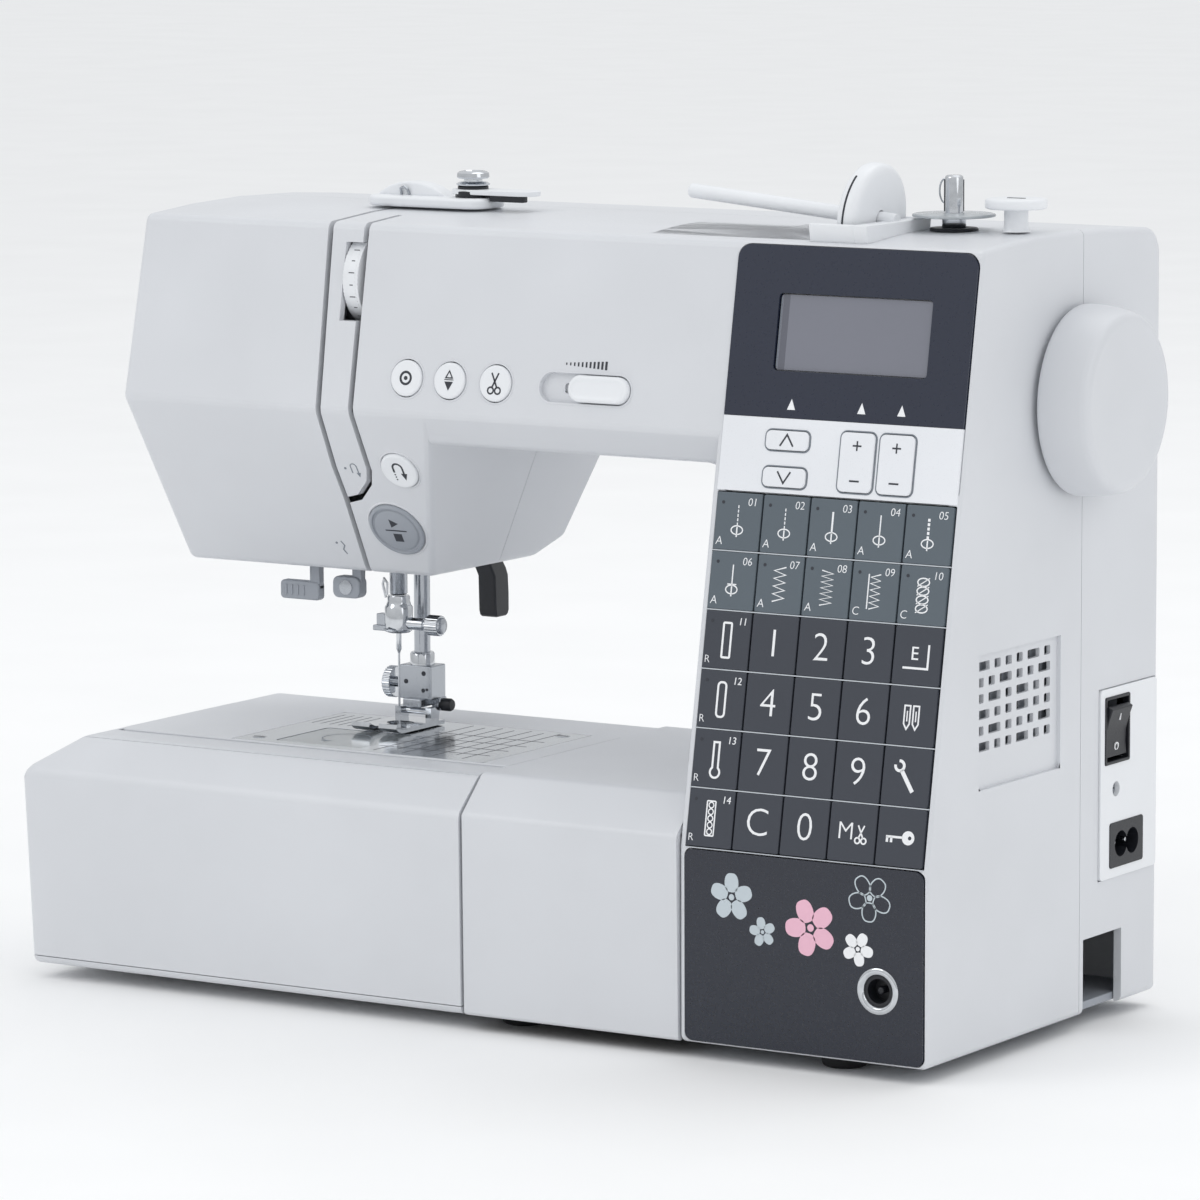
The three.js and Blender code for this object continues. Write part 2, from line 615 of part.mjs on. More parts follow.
add('presser_bar', rod('z', 3, 113.5, 246, NEEDLE_X, PRESSER_Y, 16), STEEL);

const footHolder = join(
  box(-95, -81, 7.5, 17.5, 100.5, 113.2),
  box(-92, -84, 5, 13.5, 97.8, 101),
  rod('x', 2, -99.5, -94, PRESSER_Y, 105.7, 12),
  rod('x', 6, -103, -99, PRESSER_Y, 105.7, 20),
  box(-84.5, -80.5, 13, 17.5, 96, 101),
  rod('x', 2.4, -81, -76.5, 15.2, 98.2, 12),
);
add('foot_holder', footHolder, CHROME);

const FOOT_PIN = { y: 9, z: 96 };
const presserFoot = join(
  cut(
    prism('x', [[-20, 93.6], [-16.5, 91.6], [12, 91.6], [12, 93.2], [-16, 93.2], [-19.6, 95]], -98, -78),
    box(-93.2, -82.8, -8, 2, 90, 96),
    box(-90, -86, -25, -7, 90, 97),
  ),
  box(-96, -93.5, 6, 12, 92.5, 97.8),
  box(-82.5, -80, 6, 12, 92.5, 97.8),
  rod('x', 1.2, -94, -82, FOOT_PIN.y, FOOT_PIN.z, 10),
);
add('presser_foot', presserFoot, STEEL);

const lifterOutline = [
  [37, 168], [37, 176], [46, 176], [60, 149], [65.5, 142], [66, 126.5], [64, 125.4],
  [57.5, 125.4], [56.5, 128], [56, 141], [51, 149],
];
add('presser_lifter', prism('x', lifterOutline, NEEDLE_X - 3.9, NEEDLE_X + 3.9), BLACK);

const threaderLever = join(
  box(-137, -119.5, -9, -5, 137, 144),
  box(-124, -119.5, -9, -5, 140, 170),
  box(-124, -101, -9, -5, 164, 170),
  box(-105, -101, -9, -5, 142, 170),
  box(-113, -101, -10, -4, 139, 147),
);
add('threader_lever', threaderLever, GREY);

const takeUpOutline = [
  [-16, 238], [-8, 238], [-8, 248], [-12, 249], [-38, 263], [-44, 264.5], [-45, 261.5],
  [-38, 259], [-17, 246],
];
add('take_up_lever', prism('x', takeUpOutline, -86.3, -85.1), STEEL);

// ---------------------------------------------------------------- plate, hook and feed

const FEED_BARS = [[-100, -97.5, -10, 8], [-90.2, -86.8, 2.2, 8], [-80.5, -78, -10, 8]];
const needlePlate = cut(
  box(-127.5, -18, -54, 19, 89.4, BED_TOP),
  box(-112, -74, -49.5, -14.5, 85, 95),
  ...FEED_BARS.map(([x0, x1, y0, y1]) => box(x0 - 0.6, x1 + 0.6, y0 - 2.4, y1 + 2.4, 85, 95)),
  prism('z', pill(-92.5, -83.5, -4.2, -1.8), 85, 95),
);
add('needle_plate', needlePlate, STEEL);
add('bobbin_cover', box(-111.7, -74.3, -49.2, -14.8, 89.6, 90.9), CLEAR);

const feedBars = FEED_BARS.map(([x0, x1, y0, y1]) => box(x0, x1, y0, y1, 83, 91.2));
const feedDog = cut(
  join(box(-100, -78, -10, 8, 80.5, 84.5), ...feedBars),
  box(-93.5, -82.5, -6.5, 0.5, 78, 90),
);
add('feed_dog', feedDog, STEEL);

const hookProfile = [[0, 56], [3, 56], [3, 62], [16.4, 62], [16.4, 84], [11.8, 84], [11.8, 69], [0, 69]];
add('hook', turned('z', hookProfile, HOOK.x, HOOK.y, 24), STEEL);

const bobbinProfile = [
  [2.9, 70.5], [10.25, 70.5], [10.25, 71.7], [4.5, 71.7], [4.5, 81.8], [10.25, 81.8], [10.25, 83],
  [2.9, 83], [2.9, 70.5],
];
add('bobbin', turned('z', bobbinProfile, HOOK.x, HOOK.y, 20), CLEAR);

// ---------------------------------------------------------------- frame and drive

const machineFrame = cut(
  join(
    box(-150, 140, 32, 44, 214, 232),
    box(87, 99, 28, 44, 10, 232),
    box(-3, 172, 28, 44, 10, 28),
    box(-3, 15, -40, 44, 10, 41),
    box(-172, 2, -40, 14, 37, 41),
    box(4, 12, 0, 16, 40, 60),
    box(52, 62, 12, 34, 214, 236),
    box(128, 138, 12, 34, 214, 236),
  ),
  rod('x', 4.3, 0, 145, SHAFT_Y, SHAFT_Z),
  rod('x', 4.3, 0, 20, LOWER_SHAFT_Y, LOWER_SHAFT_Z),
);
add('machine_frame', machineFrame, CAST);

const CRANK_R = 6;
const mainShaft = join(
  rod('x', 4, -70, 187.6, SHAFT_Y, SHAFT_Z),
  rod('x', BELT_WHEEL_R, ...BELT_X, SHAFT_Y, SHAFT_Z, 32),
  rod('x', CRANK_R + 3.5, -74, -68, SHAFT_Y, SHAFT_Z, 24),
  rod('x', 2.5, -80, -73, SHAFT_Y, SHAFT_Z + CRANK_R, 12),
);
add('main_shaft', mainShaft, STEEL);

const WHEEL = { inner: 182.4, outer: HALF_WIDTH, r: 33.5 };
const handwheelProfile = [
  [0, 188], [4.3, 188], [4.3, WHEEL.inner], [WHEEL.r - 0.4, WHEEL.inner], [WHEEL.r, WHEEL.inner + 0.8],
  [WHEEL.r - 0.3, 190], [WHEEL.r - 1.6, 197.5], [WHEEL.r - 2.9, 200], [WHEEL.r - 4.6, WHEEL.outer],
  [0, WHEEL.outer],
];
add('handwheel', turned('x', handwheelProfile, SHAFT_Y, SHAFT_Z, 36), WHITE);

const lowerShaft = join(
  rod('x', 4, -86, BELT_X[0] + 2, LOWER_SHAFT_Y, LOWER_SHAFT_Z),
  rod('x', 7.5, -92, -84, LOWER_SHAFT_Y, LOWER_SHAFT_Z),
  rod('x', BELT_WHEEL_R, ...BELT_X, LOWER_SHAFT_Y, LOWER_SHAFT_Z, 32),
);
add('lower_shaft', lowerShaft, STEEL);

// One toothed belt runs round the two shafts' wheels and the motor's pulley.
function beltLoop(grow, low, high) {
  const wheels = [
    [SHAFT_Y, SHAFT_Z, BELT_WHEEL_R],
    [LOWER_SHAFT_Y, LOWER_SHAFT_Z, BELT_WHEEL_R],
    [MOTOR_Y, MOTOR_Z, MOTOR_PULLEY_R],
  ];
  return hull(wheels.flatMap(([y, z, r]) => (
    arc(y, z, (r + grow) / Math.cos(Math.PI / 32), 0, 348.75, 31).flatMap(([py, pz]) => (
      [[low, py, pz], [high, py, pz]])))));
}
add('drive_belt', beltLoop(1.9, 150.8, 157.2).subtract(beltLoop(0.4, 140, 170)), RUBBER);

add('motor', join(
  rod('x', 20, 102, 143, MOTOR_Y, MOTOR_Z, 28),
  rod('x', 7, 142, 146, MOTOR_Y, MOTOR_Z, 16),
), CAST);
add('motor_pulley', join(
  rod('x', MOTOR_PULLEY_R, ...BELT_X, MOTOR_Y, MOTOR_Z, 24),
  rod('x', 2.5, 146.5, 151, MOTOR_Y, MOTOR_Z, 12),
), STEEL);

// ---------------------------------------------------------------- pieces on the roof

const saddle = cut(
  rod('x', SPOOL.saddleR, ...SPOOL.saddleX, SPOOL.y, SPOOL.z, 32),
  rod('x', SPOOL.boreR, 100, 127.6, SPOOL.y, SPOOL.z, 32),
  box(100, 140, -60, 20, 288, 320),
);
const spoolRod = inWorld(rod('x', 2.6, 0, 84, 0, 0, 16), spoolLine);
add('spool_pin', join(saddle, spoolRod), WARM_WHITE);

const CAP = { x0: 69.8, x1: 77.8, r: 19.2 };
const capProfile = [
  [3, CAP.x0], [CAP.r - 2, CAP.x0], [CAP.r, CAP.x0 + 2], [CAP.r, CAP.x1 - 2.4],
  [CAP.r - 2.4, CAP.x1], [3, CAP.x1], [3, CAP.x0],
];
add('spool_cap', turned('x', capProfile, 0, 0, 30), WARM_WHITE, spoolLine);

const spindleProfile = [
  [0, 262], [10, 262], [10, 266], [2.4, 266], [2.4, 284.6], [4.2, 284.6], [4.2, 288.4],
  [14.6, 288.8], [14.6, 289.8], [3.2, 290.2], [3.2, 302.4], [2.6, 303.2], [0, 303.2],
];
add('bobbin_spindle', turned('z', spindleProfile, 0, 0, 20), CHROME).position.set(143.5, 0, 0);

const stopperProfile = [
  [0, 284.5], [5, 284.5], [4.2, 286.5], [4.2, 292], [10.4, 292.4], [10.8, 293], [10.8, 295.4],
  [10, 296], [0, 296],
];
add('bobbin_stopper', turned('z', stopperProfile, 0, 0, 20), WARM_WHITE).position.set(168, 0, 0);

const threadGuide = join(
  prism('z', roundedRect(-98, -46, -11, 11, 8), 284.6, 288.4),
  box(-91, -66, 2, 4, 288, 293.4),
  prism('z', pill(-64, -28, -6, 6), 289.6, 291.4),
  turned('z', [
    [0, 288], [4, 288], [4, 291.6], [6, 292], [6, 293], [3, 293.4], [3, 295], [5.2, 295.4],
    [5.2, 297.4], [4, 298], [0, 298],
  ], -56, 0, 24),
);
add('thread_guide', threadGuide, WARM_WHITE);

// The handle's arms end in round knuckles about its pivots.
const bowOutline = roundedRect(-HANDLE.half, HANDLE.half, HANDLE.bottom, HANDLE.pivotZ + 4, 3.5);
const handleBow = cut(
  prism('y', bowOutline, HANDLE.y0, HANDLE.y1),
  box(-HANDLE.half + HANDLE.armWidth, HANDLE.half - HANDLE.armWidth, 70, 90, HANDLE.bottom + 9, 300),
  box(-70, 70, 70, 90, HANDLE.pivotZ, 300),
);
const knuckleR = (HANDLE.y1 - HANDLE.y0) / 2;
const handleKnuckle = rod('x', knuckleR, 0, HANDLE.armWidth, HANDLE.y, HANDLE.pivotZ, 24);
const handleGrip = join(
  handleBow,
  handleKnuckle.translate([-HANDLE.half, 0, 0]),
  handleKnuckle.translate([HANDLE.half - HANDLE.armWidth, 0, 0]),
);
add('carry_handle', handleGrip, WHITE);

export default machine;
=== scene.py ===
"""The looks of a computerised sewing machine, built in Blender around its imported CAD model.

Sizes in this file are millimetres, and every mesh is turned into metres as it is made.
+X runs along the bed towards the handwheel, +Y to the back and +Z up.
"""

import math

import bmesh
import bpy
from mathutils import Matrix, Vector


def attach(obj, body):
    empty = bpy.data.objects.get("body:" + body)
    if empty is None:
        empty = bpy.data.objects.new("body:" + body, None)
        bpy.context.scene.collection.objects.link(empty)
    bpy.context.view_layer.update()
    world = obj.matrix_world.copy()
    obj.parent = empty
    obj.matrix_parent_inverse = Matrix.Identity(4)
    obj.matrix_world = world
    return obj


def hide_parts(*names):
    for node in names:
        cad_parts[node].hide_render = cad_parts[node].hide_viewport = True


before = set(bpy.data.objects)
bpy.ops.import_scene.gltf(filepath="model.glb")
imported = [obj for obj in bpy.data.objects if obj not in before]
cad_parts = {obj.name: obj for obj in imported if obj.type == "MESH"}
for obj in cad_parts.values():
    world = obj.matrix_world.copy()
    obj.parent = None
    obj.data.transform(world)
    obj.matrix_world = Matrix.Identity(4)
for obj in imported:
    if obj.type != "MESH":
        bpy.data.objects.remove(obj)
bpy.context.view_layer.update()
MM = 0.001
WELD = 1e-4
EASED_ANGLE, TURNED_ANGLE, CASING_ANGLE, ROUNDED_ANGLE = 32, 50, 33, 14

# ---------------------------------------------------------------- local frames


def local_frame(origin, u, v):
    """A matrix that places (u, v, w) millimetres, w being the outward normal."""
    u_axis = Vector(u).normalized()
    v_axis = Vector(v).normalized()
    w_axis = u_axis.cross(v_axis)
    columns = Matrix((u_axis, v_axis, w_axis)).transposed().to_4x4()
    return Matrix.Translation(Vector(origin)) @ columns


KNEE = Vector((0, -84, 74.6))
ROOF_FRONT = Vector((0, -46.4, 281.3))
CREASE = Vector((0, -58.5, 214.8))
HEAD_FOOT = Vector((0, -17.6, 150.7))

WORLD = Matrix.Identity(4)
PANEL = local_frame(KNEE, (1, 0, 0), ROOF_FRONT - KNEE)
HEAD_FACE = local_frame(CREASE, (1, 0, 0), CREASE - HEAD_FOOT)


def facing_front(y):
    return local_frame((0, y, 0), (1, 0, 0), (0, 0, 1))


def facing_back(y):
    return local_frame((0, y, 0), (-1, 0, 0), (0, 0, 1))


# ---------------------------------------------------------------- outlines


def arc(cu, cv, radius, start, end, steps=8):
    """Points along a circle, from one angle in degrees to another."""
    turns = [math.radians(start + (end - start) * i / steps) for i in range(steps + 1)]
    return [(cu + radius * math.cos(t), cv + radius * math.sin(t)) for t in turns]


def circle(cu, cv, radius, steps=48):
    return arc(cu, cv, radius, 0, 360, steps)[:-1]


def rounded(u0, u1, v0, v1, radius, steps=6):
    return [
        *arc(u1 - radius, v0 + radius, radius, -90, 0, steps),
        *arc(u1 - radius, v1 - radius, radius, 0, 90, steps),
        *arc(u0 + radius, v1 - radius, radius, 90, 180, steps),
        *arc(u0 + radius, v0 + radius, radius, 180, 270, steps),
    ]


def pill(u0, u1, v0, v1, steps=12):
    return rounded(u0, u1, v0, v1, min(u1 - u0, v1 - v0) / 2 - 0.01, steps)


def offset_sides(points, width, closed):
    """The two sides of a band of even width along a line of points."""
    line = [Vector(p) for p in points]
    count = len(line)
    left, right = [], []
    for i, point in enumerate(line):
        before = line[i - 1] if closed or i else point
        after = line[(i + 1) % count] if closed or i < count - 1 else point
        into = (point - before).normalized() if point != before else (after - point).normalized()
        out = (after - point).normalized() if point != after else into
        side = Vector((-(into + out).y, (into + out).x))
        side = side.normalized() if side.length > 1e-6 else Vector((-into.y, into.x))
        reach = min(width / 2 / max(side.dot(Vector((-into.y, into.x))), 0.35), width)
        left.append(tuple(point + side * reach))
        right.append(tuple(point - side * reach))
    return left, right


# ---------------------------------------------------------------- meshes


class Form:
    """A mesh being built in millimetres in one local frame, which piece() turns into an object."""

    def __init__(self, place=WORLD):
        self.place = place
        self.mesh = bmesh.new()
        self.angle = EASED_ANGLE

    def loop(self, outline, w):
        return [self.mesh.verts.new((u, v, w)) for u, v in outline]

    def wall(self, low, high):
        for i in range(len(low)):
            j = (i + 1) % len(low)
            self.mesh.faces.new((low[i], low[j], high[j], high[i]))

    def prism(self, outline, low, high, holes=()):
        """A straight plate from w low to w high, with holes right through it."""
        ends = ([], [])
        for ring in (outline, *holes):
            bottom, top = self.loop(ring, low), self.loop(ring, high)
            self.wall(bottom, top)
            for end, verts in zip(ends, (bottom, top)):
                end.append(verts)
        for end in ends:
            if holes:
                pairs = [(ring[i - 1], ring[i]) for ring in end for i in range(len(ring))]
                edges = [self.mesh.edges.get(pair) for pair in pairs]
                bmesh.ops.triangle_fill(self.mesh, edges=edges, use_beauty=True, use_dissolve=False)
            else:
                self.mesh.faces.new(end[0])
        return self

    def stack(self, sections):
        """A solid through matching outlines, given as (w, outline)."""
        loops = [self.loop(outline, w) for w, outline in sections]
        for low, high in zip(loops, loops[1:]):
            self.wall(low, high)
        self.mesh.faces.new(loops[0])
        self.mesh.faces.new(loops[-1])
        return self

    def box(self, u0, u1, v0, v1, w0, w1):
        return self.prism([(u0, v0), (u1, v0), (u1, v1), (u0, v1)], w0, w1)

    def stroke(self, points, width, low, high, closed=False):
        """A flat band along a line, closed into a ring or with square ends."""
        left, right = offset_sides(points, width, closed)
        if closed:
            return self.prism(left, low, high, holes=[right])
        return self.prism(left + right[::-1], low, high)

    def turned(self, profile, cu=0, cv=0, steps=64):
        """A round piece about the normal, with a (radius, w) profile from axis to axis or closed."""
        self.angle = TURNED_ANGLE
        rings = []
        for radius, w in profile:
            if radius < 1e-6:
                rings.append([self.mesh.verts.new((cu, cv, w))])
            else:
                rings.append(self.loop(circle(cu, cv, radius, steps), w))
        for low, high in zip(rings, rings[1:]):
            self.band(low, high)
        if len(rings[0]) > 1 and len(rings[-1]) > 1:
            self.band(rings[-1], rings[0])
        return self

    def band(self, low, high):
        """Faces between two rings, either of which may be a single point."""
        if len(low) == 1 and len(high) == 1:
            return
        if len(low) == len(high):
            self.wall(low, high)
            return
        ring, tip = (low, high[0]) if len(high) == 1 else (high, low[0])
        for i in range(len(ring)):
            self.mesh.faces.new((ring[i - 1], ring[i], tip))

    def tube(self, points, radius, sides=12, closed=False):
        """A round wire through three-dimensional points."""
        line = [Vector(p) for p in points]
        rings = []
        normal = None
        for i, point in enumerate(line):
            before = line[i - 1] if closed or i else point
            after = line[(i + 1) % len(line)] if closed or i < len(line) - 1 else point
            along = (after - before).normalized()
            if normal is None:
                normal = along.orthogonal().normalized()
            normal = (normal - along * normal.dot(along)).normalized()
            other = along.cross(normal)
            ring = []
            for k in range(sides):
                turn = 2 * math.pi * k / sides
                offset = normal * math.cos(turn) + other * math.sin(turn)
                ring.append(self.mesh.verts.new(point + offset * radius))
            rings.append(ring)
        for low, high in zip(rings, rings[1:]):
            self.wall(low, high)
        if closed:
            self.wall(rings[-1], rings[0])
        else:
            self.mesh.faces.new(rings[0])
            self.mesh.faces.new(rings[-1])
        return self

    def text(self, words, cu, cv, size, low, high, slant=0.0, thin=0.0):
        """Plain characters, centred on a point."""
        curve = bpy.data.curves.new("characters", "FONT")
        curve.body = words
        curve.size = size
        curve.shear = slant
        curve.offset = -thin
        curve.align_x = "CENTER"
        curve.align_y = "CENTER"
        curve.extrude = (high - low) / 2
        curve.resolution_u = 4
        holder = placed("characters", curve)
        shape = bpy.data.meshes.new_from_object(holder)
        shape.transform(Matrix.Translation((cu, cv, (low + high) / 2)))
        self.mesh.from_mesh(shape)
        bpy.data.objects.remove(holder)
        bpy.data.curves.remove(curve)
        bpy.data.meshes.remove(shape)
        return self

    def rounded(self, width, segments=4, skip=None):
        """Rounds the sharp edges, except where skip(middle) says so."""
        bmesh.ops.recalc_face_normals(self.mesh, faces=self.mesh.faces)
        edges = [
            edge
            for edge in self.mesh.edges
            if edge.calc_face_angle(0) > math.radians(ROUNDED_ANGLE)
            and not (skip and skip((edge.verts[0].co + edge.verts[1].co) / 2))
        ]
        bmesh.ops.bevel(
            self.mesh, geom=edges, offset=width, offset_type="OFFSET", segments=segments,
            profile=0.5, affect="EDGES", clamp_overlap=True,
        )
        return self

    def piece(self, name, body, look, bevel=0.0, segments=2, angle=None, node=None):
        """Makes the object, which stands for a CAD node if one is named, and eases its sharp edges."""
        bmesh.ops.remove_doubles(self.mesh, verts=self.mesh.verts, dist=WELD)
        self.mesh.transform(Matrix.Scale(MM, 4) @ self.place)
        bmesh.ops.recalc_face_normals(self.mesh, faces=self.mesh.faces)
        obj = finished(name, self.mesh, body, look, [node] if node else [])
        dress(obj, bevel, segments, angle or self.angle)


def placed(name, data):
    """A new object in the scene."""
    obj = bpy.data.objects.new(name, data)
    bpy.context.scene.collection.objects.link(obj)
    return obj


def finished(name, mesh, body, look, nodes):
    """A piece on its body, with its look's material, which stands for the named CAD nodes."""
    data = bpy.data.meshes.new(name)
    mesh.to_mesh(data)
    mesh.free()
    obj = placed(name, data)
    slot, material = look
    data.materials.append(material)
    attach(obj, body)
    if nodes:
        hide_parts(*nodes)
    return obj


def even_shading(obj):
    obj.modifiers.new("even shading", "WEIGHTED_NORMAL").keep_sharp = True


def dress(obj, bevel, segments, angle):
    """Eased edges and clean shading for a mesh."""
    obj.data.shade_smooth()
    if not bevel:
        obj.data.set_sharp_from_angle(angle=math.radians(angle))
        return
    ease = obj.modifiers.new("eased edges", "BEVEL")
    ease.width = bevel * MM
    ease.segments = segments
    ease.limit_method = "ANGLE"
    ease.angle_limit = math.radians(angle)
    ease.use_clamp_overlap = True
    even_shading(obj)


def keep(node, look, bevel):
    """A CAD node that stays as it is, with eased edges and a better material."""
    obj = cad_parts[node]
    obj.data.materials.clear()
    obj.data.materials.append(look[1])
    if "custom_normal" in obj.data.attributes:
        obj.data.attributes.remove(obj.data.attributes["custom_normal"])
    weld = obj.modifiers.new("one skin", "WELD")
    weld.merge_threshold = 1e-5
    flat = obj.modifiers.new("whole faces", "DECIMATE")
    flat.decimate_type = "DISSOLVE"
    flat.angle_limit = math.radians(0.5)
    dress(obj, bevel, 2, EASED_ANGLE)


class Solid:
    """A closed shape in world millimetres, to be joined with others or cut by them."""

    def __init__(self, form):
        bmesh.ops.remove_doubles(form.mesh, verts=form.mesh.verts, dist=WELD)
        form.mesh.transform(form.place)
        bmesh.ops.recalc_face_normals(form.mesh, faces=form.mesh.faces)
        bmesh.ops.triangulate(form.mesh, faces=form.mesh.faces)
        self.data = bpy.data.meshes.new("solid")
        form.mesh.to_mesh(self.data)
        form.mesh.free()

    def step(self, operation, other):
        objects = [placed("solid", shape.data) for shape in (self, other)]
        base, tool = objects
        change = base.modifiers.new("step", "BOOLEAN")
        change.operation = operation
        change.solver = "MANIFOLD"
        change.object = tool
        base.modifiers.new("triangles", "TRIANGULATE").min_vertices = 4
        bpy.context.view_layer.update()
        evaluated = base.evaluated_get(bpy.context.evaluated_depsgraph_get())
        result = Solid.__new__(Solid)
        result.data = bpy.data.meshes.new_from_object(evaluated)
        for obj in objects:
            bpy.data.objects.remove(obj)
        return result

    def combined(self, operation, others):
        result = self
        for other in others:
            result = result.step(operation, other)
        return result

    def join(self, *others):
        return self.combined("UNION", others)

    def cut(self, *others):
        return self.combined("DIFFERENCE", others)

    def common(self, *others):
        return self.combined("INTERSECT", others)

    def piece(self, name, body, look, node):
        """Makes a casing with smooth shading that stays crisp at sharp edges."""
        mesh = bmesh.new()
        mesh.from_mesh(self.data)
        bmesh.ops.remove_doubles(mesh, verts=mesh.verts, dist=5 * WELD)
        mesh.transform(Matrix.Scale(MM, 4))
        obj = finished(name, mesh, body, look, [node])
        obj.data.shade_smooth()
        obj.data.set_sharp_from_angle(angle=math.radians(CASING_ANGLE))
        even_shading(obj)


# ---------------------------------------------------------------- materials


def nodes_of(name):
    material = bpy.data.materials.new(name)
    material.use_nodes = True
    tree = material.node_tree
    return material, tree, tree.nodes["Principled BSDF"]


def put(shader, values):
    for name, value in values.items():
        shader.inputs[name].default_value = value


def add_node(tree, kind, values=None, source=None, socket=None):
    """A node with some of its inputs set, and one of them fed by a source."""
    made = tree.nodes.new("ShaderNode" + kind)
    put(made, values or {})
    if source:
        tree.links.new(source, made.inputs[socket])
    return made


def noise(tree, pitch, detail=3.0, stretch=(1, 1, 1)):
    """Noise whose grains are pitch millimetres apart."""
    place = add_node(tree, "TexCoord").outputs["Object"]
    scaled = add_node(tree, "Mapping", {"Scale": stretch}, place, "Vector").outputs["Vector"]
    grain = {"Scale": 1 / (pitch * MM), "Detail": detail}
    return add_node(tree, "TexNoise", grain, scaled, "Vector").outputs["Fac"]


def spread(tree, source, low, high, start=0.3, end=0.7):
    """A number between low and high that follows the source from its start to its end."""
    ends = {"From Min": start, "From Max": end, "To Min": low, "To Max": high}
    return add_node(tree, "MapRange", ends, source, "Value").outputs["Result"]


def tint(tree, source, first, second):
    """A colour between two that follows the source."""
    mix = tree.nodes.new("ShaderNodeMix")
    mix.data_type = "RGBA"
    put(mix, {"A": (*first, 1), "B": (*second, 1)})
    tree.links.new(spread(tree, source, 0, 1), mix.inputs["Factor"])
    return mix.outputs["Result"]


def bump(tree, shader, height, depth):
    """Relief depth millimetres deep."""
    relief = add_node(tree, "Bump", {"Distance": depth * MM}, height, "Height")
    tree.links.new(relief.outputs["Normal"], shader.inputs["Normal"])


def linear(code):
    """A linear colour from a hexadecimal display colour."""
    parts = [int(code[i : i + 2], 16) / 255 for i in (0, 2, 4)]
    return tuple(c / 12.92 if c <= 0.04045 else ((c + 0.055) / 1.055) ** 2.4 for c in parts)


def moulded(slot, name, code, roughness, grain=0.9, depth=0.012, coat=0.0, clear=0.0):
    """Moulded plastic: fine eroded grain, slightly uneven gloss and colour."""
    material, tree, shader = nodes_of(name)
    colour = linear(code)
    broad = noise(tree, 55, 2)
    tree.links.new(
        tint(tree, broad, [c * 0.975 for c in colour], [min(c * 1.02, 1) for c in colour]),
        shader.inputs["Base Color"],
    )
    fine = noise(tree, grain, 2)
    tree.links.new(spread(tree, fine, roughness * 0.88, roughness * 1.12), shader.inputs["Roughness"])
    bump(tree, shader, fine, depth)
    put(shader, {"Coat Weight": coat, "Coat Roughness": 0.08})
    put(shader, {"Transmission Weight": clear, "IOR": 1.49})
    return slot, material


def metal(slot, name, code, roughness, grain=0.5, stretch=(1, 1, 1), depth=0.004):
    """Ground or cast metal: fine lines along the way it was worked, and small changes of gloss."""
    material, tree, shader = nodes_of(name)
    colour = linear(code)
    lines = noise(tree, grain, 4, stretch)
    tree.links.new(tint(tree, lines, [c * 0.86 for c in colour], colour), shader.inputs["Base Color"])
    tree.links.new(spread(tree, lines, roughness * 0.7, roughness * 1.3), shader.inputs["Roughness"])
    bump(tree, shader, lines, depth)
    put(shader, {"Metallic": 1.0})
    return slot, material


def on(slot, look):
    """The same material, paired with another slot name."""
    return slot, look[1]


CASING = moulded("casing_white", "casing plastic", "d9dbdf", 0.36, grain=0.7, depth=0.006)
TRIM = moulded("trim_white", "trim plastic", "eceef1", 0.34, depth=0.004)
SLATE = moulded("panel_slate", "slate panel", "1c2336", 0.3, grain=1.4, depth=0.004, coat=0.25)
LOWER = moulded("panel_slate", "lower panel print", "161c2b", 0.28, grain=1.4, depth=0.003, coat=0.3)
SILVER = moulded("key_silver", "light key strip", "eceef2", 0.3, grain=0.5, depth=0.003)
MID_KEY = moulded("key_mid", "mid grey keys", "5b656d", 0.42, grain=0.5, depth=0.01)
DARK_KEY = moulded("key_dark", "dark keys", "3b3f48", 0.42, grain=0.5, depth=0.01)
# Black plastic for real parts; the same material also fills the needle plate's seam and half of each
# wide vent opening as painted shade.
BLACK = moulded("black_plastic", "black plastic and painted shade", "1d1f25", 0.4, grain=0.6, depth=0.012)
GREY = moulded("grey_plastic", "grey plastic", "9da2aa", 0.4, grain=0.6, depth=0.01)
SCREEN = moulded("display_glass", "display glass", "777984", 0.12, grain=2.5, depth=0.001, coat=1.0)
CLEAR = moulded("clear_plastic", "clear plastic", "dfe6ea", 0.12, grain=2.0, depth=0.002, clear=0.75)
CLOUDY = moulded("clear_plastic", "cloudy plastic", "d5dade", 0.2, grain=2.0, depth=0.002, clear=0.45)
RUBBER = moulded("rubber", "rubber", "222224", 0.75, grain=0.5, depth=0.03)
BOARD = moulded("board", "circuit board", "2a5f3e", 0.45, grain=1.1, depth=0.02)
# A darker tone for the band along the display's left side: painted shadow of the window's recess wall.
DISPLAY_SHADOW = moulded("display_glass", "painted display shadow", "5c5e69", 0.2, grain=2.5, depth=0.001, coat=0.8)
# Light lines between the key rows: painted highlights where the rows' stepped lower edges catch the
# light.
ROW_HIGHLIGHT = moulded("key_silver", "painted row highlights", "c3c8ce", 0.4, grain=0.5, depth=0.002)
INK_WHITE = moulded("trim_white", "white print", "f4f5f7", 0.5, grain=0.4, depth=0.002)
# Grey print; the same material also draws a painted highlight along the display's left edge.
GREY_PRINT_AND_HIGHLIGHT = moulded("key_dark", "grey print and painted highlight", "7f868f", 0.5, grain=0.4, depth=0.002)
